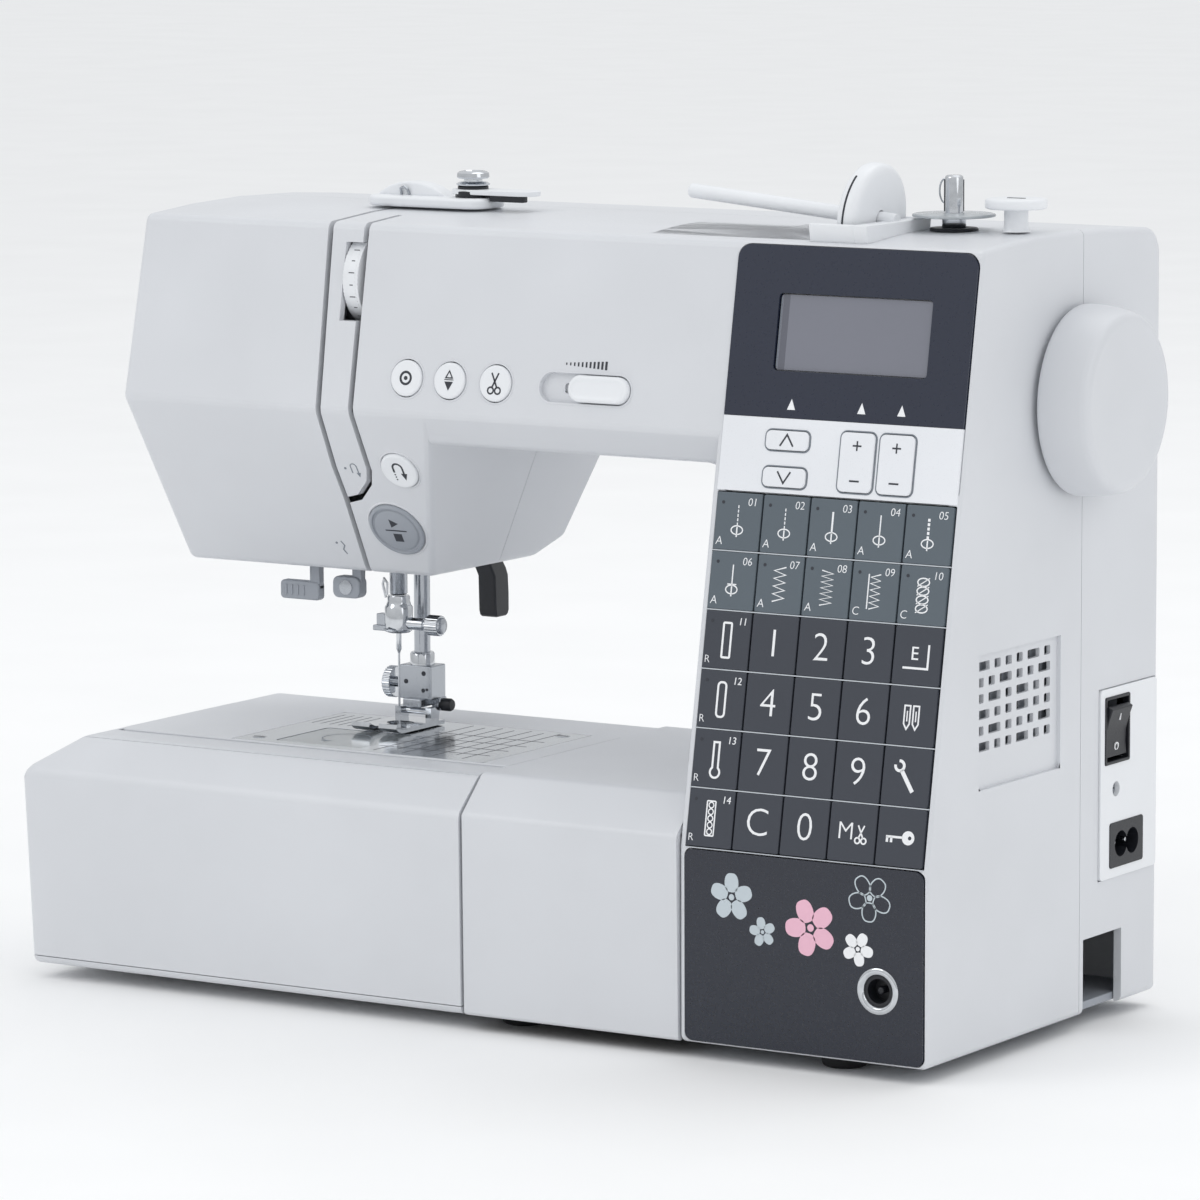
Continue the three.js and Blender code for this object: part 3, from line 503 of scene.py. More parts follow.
# Dark print; the same material also paints the shade inside screw slots, a slit, grooves and holes.
DARK_PRINT_AND_SHADE = moulded("key_dark", "dark print and painted shade", "30333b", 0.5, grain=0.4, depth=0.002)
INK_BLUE = moulded("trim_white", "pale print", "c6d0d6", 0.5, grain=0.4, depth=0.002)
INK_PINK = moulded("trim_white", "pink print", "f0bdd0", 0.5, grain=0.4, depth=0.002)
STEEL = metal("steel", "ground steel", "b4b8be", 0.22, stretch=(1, 1, 0.15))
PLATE = metal("steel", "polished plate", "c9cdd2", 0.16, grain=0.6, stretch=(0.1, 1, 1), depth=0.002)
CHROME = metal("chrome", "chrome", "d3d6da", 0.09, grain=3.0, depth=0.001)
CAST = metal("cast_metal", "cast metal", "8d9096", 0.5, grain=1.2, depth=0.05)

# ---------------------------------------------------------------- casings

WALL = 3
GAP = 0.3
CLEARANCE = 0.4
SEAM_Y = 26
COLUMN_LEFT, COLUMN_RIGHT = 82.3, 180.5
CASE_REAR, CASE_BOTTOM = 85, 5.5
ARM_UNDER = 203.5
HEAD_LEFT, HEAD_LEFT_TOP = -172.1, -169.5
HEAD_RIGHT, HEAD_RIGHT_FOOT = -37.5, -63
ROUND = 2.4
FAR = 400
LEAN = (ROOF_FRONT.y - KNEE.y) / (ROOF_FRONT.z - KNEE.z)
ALONG_X = local_frame((0, 0, 0), (0, 1, 0), (0, 0, 1))
ALONG_Y = facing_back(0)
FRONT = facing_front(0)


def block(x0, x1, y0, y1, z0, z1):
    return Solid(Form().box(x0, x1, y0, y1, z0, z1))


def across(outline, x0, x1):
    """A prism along X of a (y, z) outline."""
    return Form(ALONG_X).prism(outline, x0, x1)


def through(outline, y0, y1):
    """A prism along Y of an (x, z) outline."""
    return Form(ALONG_Y).prism([(-x, z) for x, z in outline], y0, y1)


def rod(place, radius, low, high, cu=0, cv=0, steps=48):
    return Solid(Form(place).prism(circle(cu, cv, radius, steps), low, high))


def front_y(z, inset=0):
    return KNEE.y + (z - KNEE.z) * LEAN + inset * math.hypot(1, LEAN)


def roof_line(inset):
    """(y, z) points from the roof's front edge to the back wall."""
    top = ROOF_FRONT.z - inset
    crown = [(-20, 283.3 - inset), (10, 284.2 - inset), (45, 283.4 - inset)]
    return [(front_y(top, inset), top), *crown, *arc(75, 271.4, 10 - inset, 90, 0, 8)]


def left_side(z, inset):
    """The head's left side leans in above the crease."""
    share = max(z - CREASE.z, 0) / (ROOF_FRONT.z - CREASE.z)
    return HEAD_LEFT + (HEAD_LEFT_TOP - HEAD_LEFT) * share + inset


def column_form(inset, bottom):
    front = KNEE.y + inset
    outline = [(front, bottom), (front, KNEE.z), *roof_line(inset), (CASE_REAR - inset, bottom)]
    return across(outline, COLUMN_LEFT + inset, COLUMN_RIGHT - inset)


def arm_form(inset):
    back = CASE_REAR - inset
    outline = [
        (-50 + inset, ARM_UNDER + inset), (front_y(CREASE.z, inset), CREASE.z), *roof_line(inset),
        (back, 250), (back - 0.8, CREASE.z), (back - 3, ARM_UNDER + inset),
    ]
    form = across(outline, HEAD_LEFT + inset, COLUMN_RIGHT - inset)
    left_end = [v for v in form.mesh.verts if v.co.z < 0]
    for vertex in left_end:
        vertex.co.z = left_side(vertex.co.y, inset)
    at_crease = [v for v in left_end if abs(v.co.y - CREASE.z) < 0.01]
    bmesh.ops.connect_verts(form.mesh, verts=at_crease)
    return form


def head_form(inset):
    low = HEAD_FOOT.z + inset
    sections = [
        (low, HEAD_FOOT.y + inset * 0.55, 52), (156.5 + inset, None, 68.5 - inset),
        (CREASE.z, front_y(CREASE.z, inset), 82 - inset), (230, front_y(230, inset), 82 - inset),
    ]
    stack = []
    for z, y0, y1 in sections:
        share = min(max((CREASE.z - z) / (CREASE.z - HEAD_FOOT.z), 0), 1)
        right = HEAD_RIGHT + (HEAD_RIGHT_FOOT - HEAD_RIGHT) * share - inset
        front = y0
        if front is None:
            run = (z - low) / (CREASE.z - low)
            front = sections[0][1] + (sections[2][1] - sections[0][1]) * run
        left = left_side(z, inset)
        stack.append((z, [(left, front), (right, front), (right, y1), (left, y1)]))
    return Form().stack(stack)


NUDGE = 0.015


def upper_body(inset, bottom, width=0.0):
    """The upper machine's three volumes, each slightly inside the last so that no faces coincide."""
    parts = [column_form(inset, bottom), arm_form(inset + NUDGE), head_form(inset + 2 * NUDGE)]
    if width:
        parts = [form.rounded(width) for form in parts]
    first, *rest = [Solid(form) for form in parts]
    return first.join(*rest)


TROUGH = {"bore": 20.6, "x0": 44, "x1": 110}
TROUGH_AXIS = (-20, 289)
SADDLE_POCKET = (109.7, 133.3, 23.1)


def upper_shell():
    outer = upper_body(0, CASE_BOTTOM, ROUND)
    liners = [
        block(-64, 64, 74, 84, 204, 280),
        rod(ALONG_X, TROUGH["bore"] + WALL, TROUGH["x0"] - WALL, TROUGH["x1"] - 2, *TROUGH_AXIS, 72),
    ]
    fillet = through(
        [(COLUMN_LEFT + 1, ARM_UNDER + 1),
            *arc(COLUMN_LEFT - 10, ARM_UNDER - 10, 10, 90, 0, 10)], -48, 81)
    cavity = upper_body(WALL, -60).cut(*liners)
    return outer.join(Solid(fillet)).cut(cavity)


SLIT = [
    (-86.6, 300), (-86.6, 280.5), (-85, 216.6), (-87.9, 192.6), (-88.2, 180), (-90.9, 152.3),
    (-91, 140),
]
RETURN_SLIT = [(-71, 300), (-71, 215), (-72.8, 192), (-75.1, 186.8), (-81.7, 180.9), (-88, 179.3)]
SLIT_WIDTH = 2.2


def left_of_slit(shift):
    outline = [(-190, 300), *[(x + shift, z) for x, z in SLIT], (-190, 140)]
    return Solid(through(outline, -120, SEAM_Y + 1))


UP_KEY = (103, 120, 138.6, 145.3)
DOWN_KEY = (103, 120, 125.8, 132.6)
WIDTH_KEY = (132.7, 146.1, 125.7, 146.2)
LENGTH_KEY = (148.1, 161.7, 125.7, 146.2)
STRIP_KEYS = (UP_KEY, DOWN_KEY, WIDTH_KEY, LENGTH_KEY)
ARM_BUTTONS = {"stop_mode_button": -47.7, "needle_button": -29.3, "cutter_button": -9.9}
ARM_BUTTON_V, ARM_BUTTON_R = 155.5, 6.5
SLIDER = (8.3, 46.2, 150.2, 160.7)
REVERSE = (-59, -26.1, 7.5)
START = (-70.5, -54.2, 11.3)
DIAL = {"x0": -78.8, "x1": -72.4, "y": -34.2, "z": 260.5, "r": 17}
JACK = (162, 31.3, 5.6)
SHAFT = (21.8, 225)
SPINDLE = (143.5, 0)


def key_outline(key, grow=0.0):
    u0, u1, v0, v1 = key
    return rounded(u0 - grow, u1 + grow, v0 - grow, v1 + grow, 2 + grow)


def front_openings():
    on_panel = [
        (rounded(84.7, 179.7, 123.2, 209.5, 5), -1.8, 60),
        (rounded(85.1, 179.4, -0.3, 123.4, 0.5), -8, 60),
        *[(key_outline(key, CLEARANCE), -6, 6) for key in STRIP_KEYS],
        *[(circle(u, ARM_BUTTON_V, ARM_BUTTON_R + CLEARANCE), -6, 6) for u in ARM_BUTTONS.values()],
        (pill(*SLIDER), -2.2, 6), (rounded(17.6, 36.2, 153.7, 157.3, 1), -6, 0),
    ]
    on_face = [(circle(u, v, r + CLEARANCE, 64), -7, 6) for u, v, r in (REVERSE, START)]
    left, right = offset_sides(RETURN_SLIT, SLIT_WIDTH, False)
    start, end, radius = SADDLE_POCKET
    bowl = [
        (0, TROUGH["x0"]), (TROUGH["bore"], TROUGH["x0"]), (TROUGH["bore"], start), (radius, start),
        (radius, end), (0, end),
    ]
    return [
        *[Solid(Form(PANEL).prism(*cut)) for cut in on_panel],
        *[Solid(Form(HEAD_FACE).prism(*cut)) for cut in on_face],
        Solid(Form(FRONT).prism(rounded(84.7, 179.7, 6.3, 74.2, 3), 82.2, 100)),
        rod(FRONT, JACK[2] + CLEARANCE, 78, 90, *JACK[:2]),
        block(-79.3, -70.5, -60, -38, DIAL["z"] - 14, DIAL["z"] + 14),
        Solid(through(left + right[::-1], -120, -25)),
        rod(WORLD, 3, 270, 290, *SPINDLE, 24),
        block(COLUMN_RIGHT - 1.5, COLUMN_RIGHT + 5, *VENT_WINDOW),
        Solid(Form(ALONG_X).turned(bowl, *TROUGH_AXIS, 72)),
    ]


VENT_WINDOW = (-47.7, 11, 96.5, 143.4)
VENT_LEFT, VENT_TOP, VENT_PITCH, VENT_BAR, VENT_HEIGHT = -46.2, 137.4, 5.58, 3.5, 3.2
VENT_WIDTHS = {"s": 4.4, "D": 8.6}
VENT_ROWS = ("DsssDs", "ssDssD", "sDsDss", "DssDss", "sDsssD", "DssDss")


def vent_cells():
    """(y0, y1, z0, z1, wide) for every opening of the lattice."""
    cells = []
    for row, kinds in enumerate(VENT_ROWS):
        y, z = VENT_LEFT, VENT_TOP - VENT_PITCH * row
        for kind in kinds:
            width = VENT_WIDTHS[kind]
            cells.append((y, y + width, z, z + VENT_HEIGHT, kind == "D"))
            y += width + VENT_BAR
    return cells


def vent_cutter():
    form = Form(ALONG_X)
    for y0, y1, z0, z1, _ in vent_cells():
        form.prism(rounded(y0, y1, z0, z1, 0.5, 2), 170, 190)
    return Solid(form)


def upper_casings():
    shell = upper_shell().cut(vent_cutter())
    shaft_hole = rod(ALONG_X, 5, 170, 190, *SHAFT)
    bed_window = block(80, 86, KNEE.y + WALL, 65, 0, 84)
    front = shell.cut(
        block(-FAR, FAR, SEAM_Y, FAR, -10, FAR), shaft_hole, bed_window,
        block(-97, -79, -12, 22, 145, 158))
    face = front.common(left_of_slit(-SLIT_WIDTH / 2)).cut(block(-126, -99, -11, -3, 145, 158))
    front = front.cut(left_of_slit(SLIT_WIDTH / 2), *front_openings())
    handle_arms = [block(*sorted((side * 61, side * 52)), 77, 100, 262, 300) for side in (-1, 1)]
    rear = shell.cut(
        block(-FAR, FAR, -FAR, SEAM_Y + GAP, -10, FAR), shaft_hole, bed_window,
        block(-61, 61, 77, 100, 207, 268), *handle_arms,
        block(179, 190, 39.7, 82.8, 51.5, 120.3), block(170, 182, 43, 77, 53, 118),
        block(170, 190, 29, 58, 0, 32.5), block(-93, -83, 33, 100, 140, 180))
    front.piece("front_casing", "machine", CASING, "front_cover")
    face.piece("face_casing", "machine", CASING, "face_cover")
    rear.piece("rear_casing", "machine", CASING, "rear_cover")


BED_TOP = 91
BED_SPLIT = -7.9


def bed_outline(inset, bottom):
    return [
        (KNEE.y + inset, bottom), (-85 + inset, 77.7), (-71 + inset * 0.6, BED_TOP - inset),
        (53 - inset * 0.6, BED_TOP - inset), (68 - inset, 77.7), (68 - inset, bottom),
    ]


def bed_casing():
    bed = Solid(across(bed_outline(0, CASE_BOTTOM), BED_SPLIT + GAP, COLUMN_LEFT - GAP).rounded(
        1.6, skip=lambda p: p.z > 80))
    bed = bed.cut(Solid(across(bed_outline(WALL, -60), BED_SPLIT + WALL, 90)))
    arm = Solid(Form().prism(rounded(-178, 40, -55, 20.5, 4), 33, BED_TOP - 0.004).rounded(1.0, 3))
    arm = arm.cut(block(BED_SPLIT + 1.4, 60, -60, 30, 20, 100), block(-175, 0, -52, 17.5, 36, 88))
    passage = block(BED_SPLIT - 1, BED_SPLIT + 4, -51.6, 17.1, 36.4, 87.6)
    casing = bed.join(arm).cut(
        passage, block(-127.8, -17.7, -54.3, 19.3, 89.1, 95),
        block(-110, -76, -48, -13, 80, 95), block(-102, -77, -14, 11.5, 80, 95))
    casing.piece("bed_casing", "machine", CASING, "bed_cover")


def table_form():
    right = BED_SPLIT - GAP
    levels = [(CASE_BOTTOM, -198, -84, 66), (77.7, -201, -85, 68), (90.2, -182, -71, 53)]
    stack = [(z, [(x, y0), (right, y0), (right, y1), (x, y1)]) for z, x, y0, y1 in levels]
    return Form().stack(stack)


def lid_space(grow):
    return Solid(across([
        (-100, 8.6 - grow), (-81.6 + grow, 8.6 - grow), (-82.5 + grow, 76.8 - grow),
        (-71.2 + grow, 87.2 - grow), (-71.2 + grow, 100), (-100, 100)], -206, 0))


def table_casings():
    outer = Solid(table_form().rounded(2.6, skip=lambda p: p.x > BED_SPLIT - 1))
    right = BED_SPLIT - GAP - WALL
    pocket = across([(23.9, -1), (63, -1), (65, 76.5), (52, 87.2), (23.9, 87.2)], -176, right)
    end_pocket = through([(-194.5, -1), (-181.6, -1), (-181.6, 86.9), (-197.6, 76.4)], -55.4, 50)
    table = outer.cut(
        lid_space(GAP), block(-195.5, right, -95, -58.2, 10.8, 84),
        block(-178.6, 0, -55.4, 20.9, 32, 120),
        block(-178.6, right, -55.4, 20.9, -1, 29.5), Solid(pocket), Solid(end_pocket))
    table = table.join(block(-172, -156, 21.2, 23.6, 0, 7), block(-181.3, -178.9, -40, -20, 0, 7))
    table.piece("table_casing", "extension_table", CASING, "extension_table")
    lid = outer.common(lid_space(0))
    lid.piece("lid_casing", "accessory_lid", CASING, "accessory_lid")


upper_casings()
bed_casing()
table_casings()

# ---------------------------------------------------------------- control panel

INK = 0.07
PANEL_LEFT, PANEL_RIGHT, PANEL_TOP = 85, 179.4, 209.2
STRIP_LOW, STRIP_HIGH = 123.7, 149.7
DISPLAY = (102.9, 163.4, 165.9, 192.7)
PANEL_FACE = 0.5
STRIP_KEY_FACE = 1.3


def printed(face):
    """The depths of a print that lies on a face."""
    return face - 0.05, face + INK


def grown(box, by):
    u0, u1, v0, v1 = box
    return (u0 - by, u1 + by, v0 - by, v1 + by)


def triangle(cu, cv, width, height):
    return [(cu - width / 2, cv - height / 2), (cu + width / 2, cv - height / 2), (cu, cv + height / 2)]


def cross_shape(cu, cv, arm, half):
    corners = [(arm, half), (half, half), (half, arm), (-half, arm), (-half, half), (-arm, half)]
    outline = corners + [(-u, -v) for u, v in corners]
    return [(cu + u, cv + v) for u, v in outline]


def control_panel():
    radius = 5
    top_outline = [
        (PANEL_LEFT, STRIP_HIGH), (PANEL_RIGHT, STRIP_HIGH),
        *arc(PANEL_RIGHT - radius, PANEL_TOP - radius, radius, 0, 90),
        *arc(PANEL_LEFT + radius, PANEL_TOP - radius, radius, 90, 180),
    ]
    Form(PANEL).prism(top_outline, -1.5, PANEL_FACE, [rounded(*DISPLAY, 1.5)]).piece(
        "display_panel", "machine", SLATE, 0.22, node="control_panel")
    strip = [
        (PANEL_LEFT, STRIP_LOW), (PANEL_RIGHT, STRIP_LOW), (PANEL_RIGHT, STRIP_HIGH - 0.1),
        (PANEL_LEFT, STRIP_HIGH - 0.1),
    ]
    holes = [key_outline(key, 0.62) for key in STRIP_KEYS]
    Form(PANEL).prism(strip, -1.5, PANEL_FACE, holes).piece(
        "key_strip", "machine", SILVER, 0.12, node="control_panel")
    rings = Form(PANEL)
    for key in STRIP_KEYS:
        rings.prism(key_outline(key, 0.6), -1.4, PANEL_FACE + 0.12, [key_outline(key, 0.24)])
    rings.piece("key_outlines", "machine", on("key_mid", GREY_PRINT_AND_HIGHLIGHT))
    Form(PANEL).prism(rounded(*grown(DISPLAY, -0.3), 1.3), -1.4, -0.5).piece(
        "display_glass", "machine", SCREEN, 0.15, node="display_window")
    left, _, low, high = grown(DISPLAY, -0.4)
    # A darker band inside the display's left edge: painted shadow of the recessed window's wall.
    Form(PANEL).box(left + 0.9, left + 3.4, low, high, -0.52, -0.46).piece(
        "display_painted_shadow", "machine", DISPLAY_SHADOW)
    # A thin lighter line at the display's far left: painted edge highlight.
    Form(PANEL).box(left + 0.1, left + 0.5, low + 1, high - 1, -0.52, -0.4).piece(
        "display_edge_highlight", "machine", on("display_glass", GREY_PRINT_AND_HIGHLIGHT))
    marks = Form(PANEL)
    for u in (111.6, 139.4, 155.1):
        marks.prism(triangle(u, 154.5, 3.2, 3.8), *printed(PANEL_FACE))
    marks.piece("panel_marks", "machine", INK_WHITE)


def strip_keys():
    web = Form(PANEL).box(UP_KEY[0] + 2, UP_KEY[1] - 2, DOWN_KEY[2] + 1, UP_KEY[3] - 1, -6, -4.5)
    for key in (UP_KEY, DOWN_KEY):
        web.prism(key_outline(key), -4.6, STRIP_KEY_FACE)
    web.piece("arrow_key_caps", "arrow_keys", SILVER, 0.5, 3, node="arrow_keys")
    signs = Form(PANEL)
    for key, way in ((UP_KEY, 1), (DOWN_KEY, -1)):
        cu, cv = (key[0] + key[1]) / 2, (key[2] + key[3]) / 2
        line = [(cu - 2.6, cv - 2 * way), (cu, cv + 2 * way), (cu + 2.6, cv - 2 * way)]
        signs.stroke(line, 0.6, *printed(STRIP_KEY_FACE))
    signs.piece("arrow_signs", "arrow_keys", DARK_PRINT_AND_SHADE)
    for name, key in (("width_key", WIDTH_KEY), ("length_key", LENGTH_KEY)):
        Form(PANEL).prism(key_outline(key), -4.6, STRIP_KEY_FACE).piece(
            name + "_cap", name, SILVER, 0.5, 3, node=name)
        cu = (key[0] + key[1]) / 2
        sign = Form(PANEL).prism(cross_shape(cu, key[3] - 4.6, 1.7, 0.28), *printed(STRIP_KEY_FACE))
        sign.box(cu - 1.9, cu + 1.9, key[2] + 3.5, key[2] + 4.1, *printed(STRIP_KEY_FACE))
        sign.piece(name + "_signs", name, DARK_PRINT_AND_SHADE)


# ---------------------------------------------------------------- keypad

ROW_COUNT, COLUMN_COUNT = 6, 5
ROW_PITCH, COLUMN_PITCH = 20.55, 18.8
KEYPAD_LEFT, KEYPAD_TOP = 85.4, 123.3
KEY_FACE = 0.6
KEY_HALF_WIDTH, KEY_HALF_HEIGHT = 9.1, 9.975


def key_centre(row, column):
    return KEYPAD_LEFT + COLUMN_PITCH * column + KEY_HALF_WIDTH, KEYPAD_TOP - ROW_PITCH * (row + 0.5)


class Legend:
    """White signs on one key, drawn about its centre."""

    def __init__(self, form, row, column):
        self.form = form
        self.u, self.v = key_centre(row, column)

    def at(self, points):
        return [(self.u + u, self.v + v) for u, v in points]

    def line(self, points, width=0.5, closed=False):
        self.form.stroke(self.at(points), width, *printed(KEY_FACE), closed)

    def fill(self, points, holes=()):
        rings = [self.at(hole) for hole in holes]
        self.form.prism(self.at(points), *printed(KEY_FACE), rings)

    def word(self, words, u, v, size, slant=0.0, thin=0.0):
        self.form.text(words, self.u + u, self.v + v, size, *printed(KEY_FACE), slant, thin)

    def zigzag(self, half, count, width=0.45, cu=0.0, low=-6):
        step = -2 * low / count
        self.line([(cu + (half if i % 2 else -half), low + step * i) for i in range(count + 1)], width)


def ellipse(cu, cv, ru, rv, steps=20):
    return [(cu + ru * math.cos(2 * math.pi * i / steps), cv + rv * math.sin(2 * math.pi * i / steps))
            for i in range(steps)]


def straight_stitch(legend, kind):
    """A line of stitching that runs into a small outline of a foot."""
    if kind in ("dashes", "triple"):
        for i in range(5):
            low, half = 4.6 - i * 1.5, 0.45 if kind == "triple" else 0.2
            legend.fill([(-half, low), (half, low), (half, low + 1), (-half, low + 1)])
    else:
        legend.line([(0, 5.6), (0, -1.6)], 0.7 if kind == "bold" else 0.45)
    legend.line(ellipse(0, -3, 2.3, 1.5), 0.42, closed=True)
    legend.line([(0, -1.9), (0, -5.4)], 0.5)


def stitch_sign(legend, number):
    straight = {1: "dashes", 2: "dashes", 3: "bold", 4: "plain", 5: "triple", 6: "plain"}
    zigzags = {7: (2.3, 9), 8: (2.3, 12, 0.4), 9: (1.9, 11, 0.4, 0.2)}
    if number in straight:
        straight_stitch(legend, straight[number])
    elif number in zigzags:
        legend.zigzag(*zigzags[number])
    if number == 6:
        legend.line([(-1.8, -1.2), (1.8, -1.2)], 0.4)
    elif number == 9:
        legend.line([(-2.5, -6), (-2.5, 6)], 0.45)
    elif number == 10:
        for v in (-4.5, -1.5, 1.5, 4.5):
            legend.line(ellipse(0, v, 2.3, 1.4, 14), 0.45, closed=True)
            legend.line([(-2.3, v - 1.5), (2.3, v + 1.5)], 0.35)


def buttonhole_sign(legend, number):
    if number == 13:
        legend.line([*arc(0, -4.6, 1.9, 126, 414, 16), (1.1, 5.8), (-1.1, 5.8)], 0.75, closed=True)
    elif number == 14:
        legend.line(rounded(-1.7, 1.7, -6, 6, 0.3, 2), 0.5, closed=True)
        for i in range(5):
            legend.line(ellipse(0, -4.6 + 2.3 * i, 1.0, 1.0, 10), 0.4, closed=True)
    else:
        legend.line(rounded(-1.6, 1.6, -6, 6, 0.4 if number == 11 else 1.3, 4), 0.75, closed=True)


def scissors(legend_line, cu, cv, size, width):
    """Crossed blades over two finger rings."""
    for side in (-1, 1):
        blade = [(cu - side * 0.42 * size, cv + size), (cu + side * 0.3 * size, cv - 0.5 * size)]
        legend_line(blade, width)
        ring = ellipse(cu + side * 0.42 * size, cv - 0.8 * size, 0.34 * size, 0.34 * size, 14)
        legend_line(ring, width, True)


def needle_outline(cu):
    return [(cu - 1.1, 3.6), (cu + 1.1, 3.6), (cu + 1.1, -2.6), (cu, -4.4), (cu - 1.1, -2.6)]


def dark_row_signs(form, row):
    first = Legend(form, row, 0)
    number = 9 + row
    first.word(str(number), 5.8, 6.6, 3.6, 0.1)
    first.word("R", -7.2, -7, 3.8, thin=0.05)
    buttonhole_sign(first, number)
    digits = ("123", "456", "789", "C0")[row - 2]
    for i, digit in enumerate(digits):
        Legend(form, row, i + 1).word(digit, 0, -0.2, 14, thin=0.2)
    last = Legend(form, row, 4)
    if row == 2:
        last.word("E", -0.9, 0.6, 6.5)
        last.line([(-5.2, -4.2), (4.4, -4.2), (4.4, 4)], 0.75)
    elif row == 3:
        for cu in (-1.7, 1.7):
            last.line(needle_outline(cu), 0.55, closed=True)
            last.line([(cu, 1.8), (cu, -1.8)], 0.45)
    elif row == 4:
        last.line(arc(-2.7, 3.6, 1.7, 100, -190, 14), 1.0)
        last.line([(-1.9, 2.2), (2.9, -5)], 1.5)
    else:
        third = Legend(form, row, 3)
        third.word("M", -2.6, 0.2, 8.6, thin=0.1)
        scissors(third.line, 3.4, -0.2, 2.9, 0.55)
        last.fill(circle(3, 0, 2.4, 24), [circle(3.6, 0, 0.7, 12)])
        last.line([(0.8, 0), (-5.6, 0)], 0.8)
        for cu in (-5.1, -3.5):
            last.line([(cu, -0.1), (cu, -1.9)], 0.9)


def keypad():
    letters = "AAAAAAAACC"
    for row in range(ROW_COUNT):
        name = f"key_row_{row + 1}"
        look = MID_KEY if row < 2 else DARK_KEY
        caps, signs, dots = Form(PANEL), Form(PANEL), Form(PANEL)
        for column in range(COLUMN_COUNT):
            cu, cv = key_centre(row, column)
            box = (cu - KEY_HALF_WIDTH, cu + KEY_HALF_WIDTH, cv - KEY_HALF_HEIGHT, cv + KEY_HALF_HEIGHT)
            caps.prism(rounded(*box, 0.6, 3), -3.2, KEY_FACE)
            if row < 2 or column == 0:
                dots.prism(circle(cu - 6.3, cv + 6.4, 0.6, 14), *printed(KEY_FACE))
            if row < 2:
                index = row * COLUMN_COUNT + column
                legend = Legend(signs, row, column)
                legend.word(f"{index + 1:02}", 5.4, 6.8, 3.9, 0.1, 0.04)
                legend.word(letters[index], -6.8, -7, 4.1, 0.1, 0.04)
                stitch_sign(legend, index + 1)
        if row > 1:
            dark_row_signs(signs, row)
        caps.piece(name + "_caps", name, look, 0.35, 3, node=name)
        middle = KEYPAD_TOP - ROW_PITCH * (row + 0.5)
        Form(PANEL).box(86.1, 178.4, middle - 8.8, middle + 8.8, -5, -3.1).piece(
            name + "_web", name, BLACK, 0.2)
        signs.piece(name + "_signs", name, INK_WHITE)
        dots.piece(name + "_dots", name, DARK_PRINT_AND_SHADE)
    # Light bars between the key rows and under the last row: painted highlights of the rows' stepped
    # lower edges.
    lines = Form(PANEL)
    for row in range(1, ROW_COUNT):
        v = KEYPAD_TOP - ROW_PITCH * row
        lines.box(85.2, 179.3, v - 0.2, v + 0.2, -6, KEY_FACE - 0.05)
    lines.box(85.2, 179.3, -0.28, -0.02, -0.4, KEY_FACE - 0.1)
    lines.piece("keypad_row_highlights", "machine", ROW_HIGHLIGHT)


# ---------------------------------------------------------------- lower panel

LOWER_FACE = 84.4
FLOWERS = (
    (104.0, 58.4, 8.4, "pale"), (116.4, 47.4, 5.2, "pale"), (135.5, 50.7, 10, "pink"),
    (158.7, 63.2, 8.2, "outline"), (154.1, 45.2, 6, "white"),
)


def petal(cu, cv, radius, turn, steps=14):
    """One rounded petal that points away from the flower's middle."""
    points = []
    for i in range(steps + 1):
        t = math.pi * i / steps
        along = radius * (0.2 + 0.4 * (1 - math.cos(t)))
        side = 0.33 * radius * math.sin(t) ** 0.7
        points.append((along, side))
    outline = points + [(along, -side) for along, side in points[-2:0:-1]]
    c, s = math.cos(turn), math.sin(turn)
    return [(cu + a * c - b * s, cv + a * s + b * c) for a, b in outline]


def lower_panel():
    hole = circle(*JACK)
    Form(FRONT).prism(rounded(85, 179.4, 6.6, 73.8, 3), 82.5, LOWER_FACE, [hole]).piece(
        "lower_front", "machine", LOWER, 0.3, node="lower_panel")
    prints = {"pale": INK_BLUE, "pink": INK_PINK, "white": INK_WHITE, "outline": INK_BLUE}
    for i, (cu, cv, radius, kind) in enumerate(FLOWERS):
        form = Form(FRONT)
        for k in range(5):
            turn = math.radians(90 + 72 * k + 11 * i)
            if kind == "outline":
                form.stroke(petal(cu, cv, radius, turn), 0.45, *printed(LOWER_FACE), closed=True)
            else:
                form.prism(petal(cu, cv, radius, turn), *printed(LOWER_FACE))
        form.prism(circle(cu, cv, radius * 0.13, 16), LOWER_FACE - 0.05, LOWER_FACE + INK + 0.02)
        form.piece(f"flower_{i + 1}", "machine", prints[kind])
    ring = [
        (5.5, 82.6), (5.5, 84.3), (6.2, 84.95), (7.5, 84.95), (8, 84.6), (8, 84.35), (6.6, 84.3),
        (6.6, 82.6),
    ]
    Form(FRONT).turned(ring, *JACK[:2], 72).piece("jack_ring", "machine", CHROME)
    barrel = [
        (0, 77), (5.4, 77), (5.4, 83.9), (4.3, 83.9), (4.3, 78.2), (1.3, 78.2), (1.3, 82.4),
        (0.9, 82.8), (0, 82.8),
    ]
    Form(FRONT).turned(barrel, *JACK[:2], 48).piece("jack_barrel", "machine", BLACK)


for build in (
    control_panel, strip_keys, keypad, lower_panel,
):
    build()

# ---------------------------------------------------------------- arm and head controls

BUTTON_FACE = 1.02


def round_button(place, name, cu, cv, radius, flange):
    stem = radius + flange
    profile = [
        (0, -5.6), (stem, -5.6), (stem, -4.2), (radius, -4.2), (radius, 0.5), (radius - 0.12, 0.8),
        (radius - 0.4, 1.05), (radius - 0.8, 1.12), (radius - 1.4, 1.06), (0, 0.98),
    ]
    Form(place).turned(profile, cu, cv, 72).piece(name + "_cap", name, TRIM, node=name)


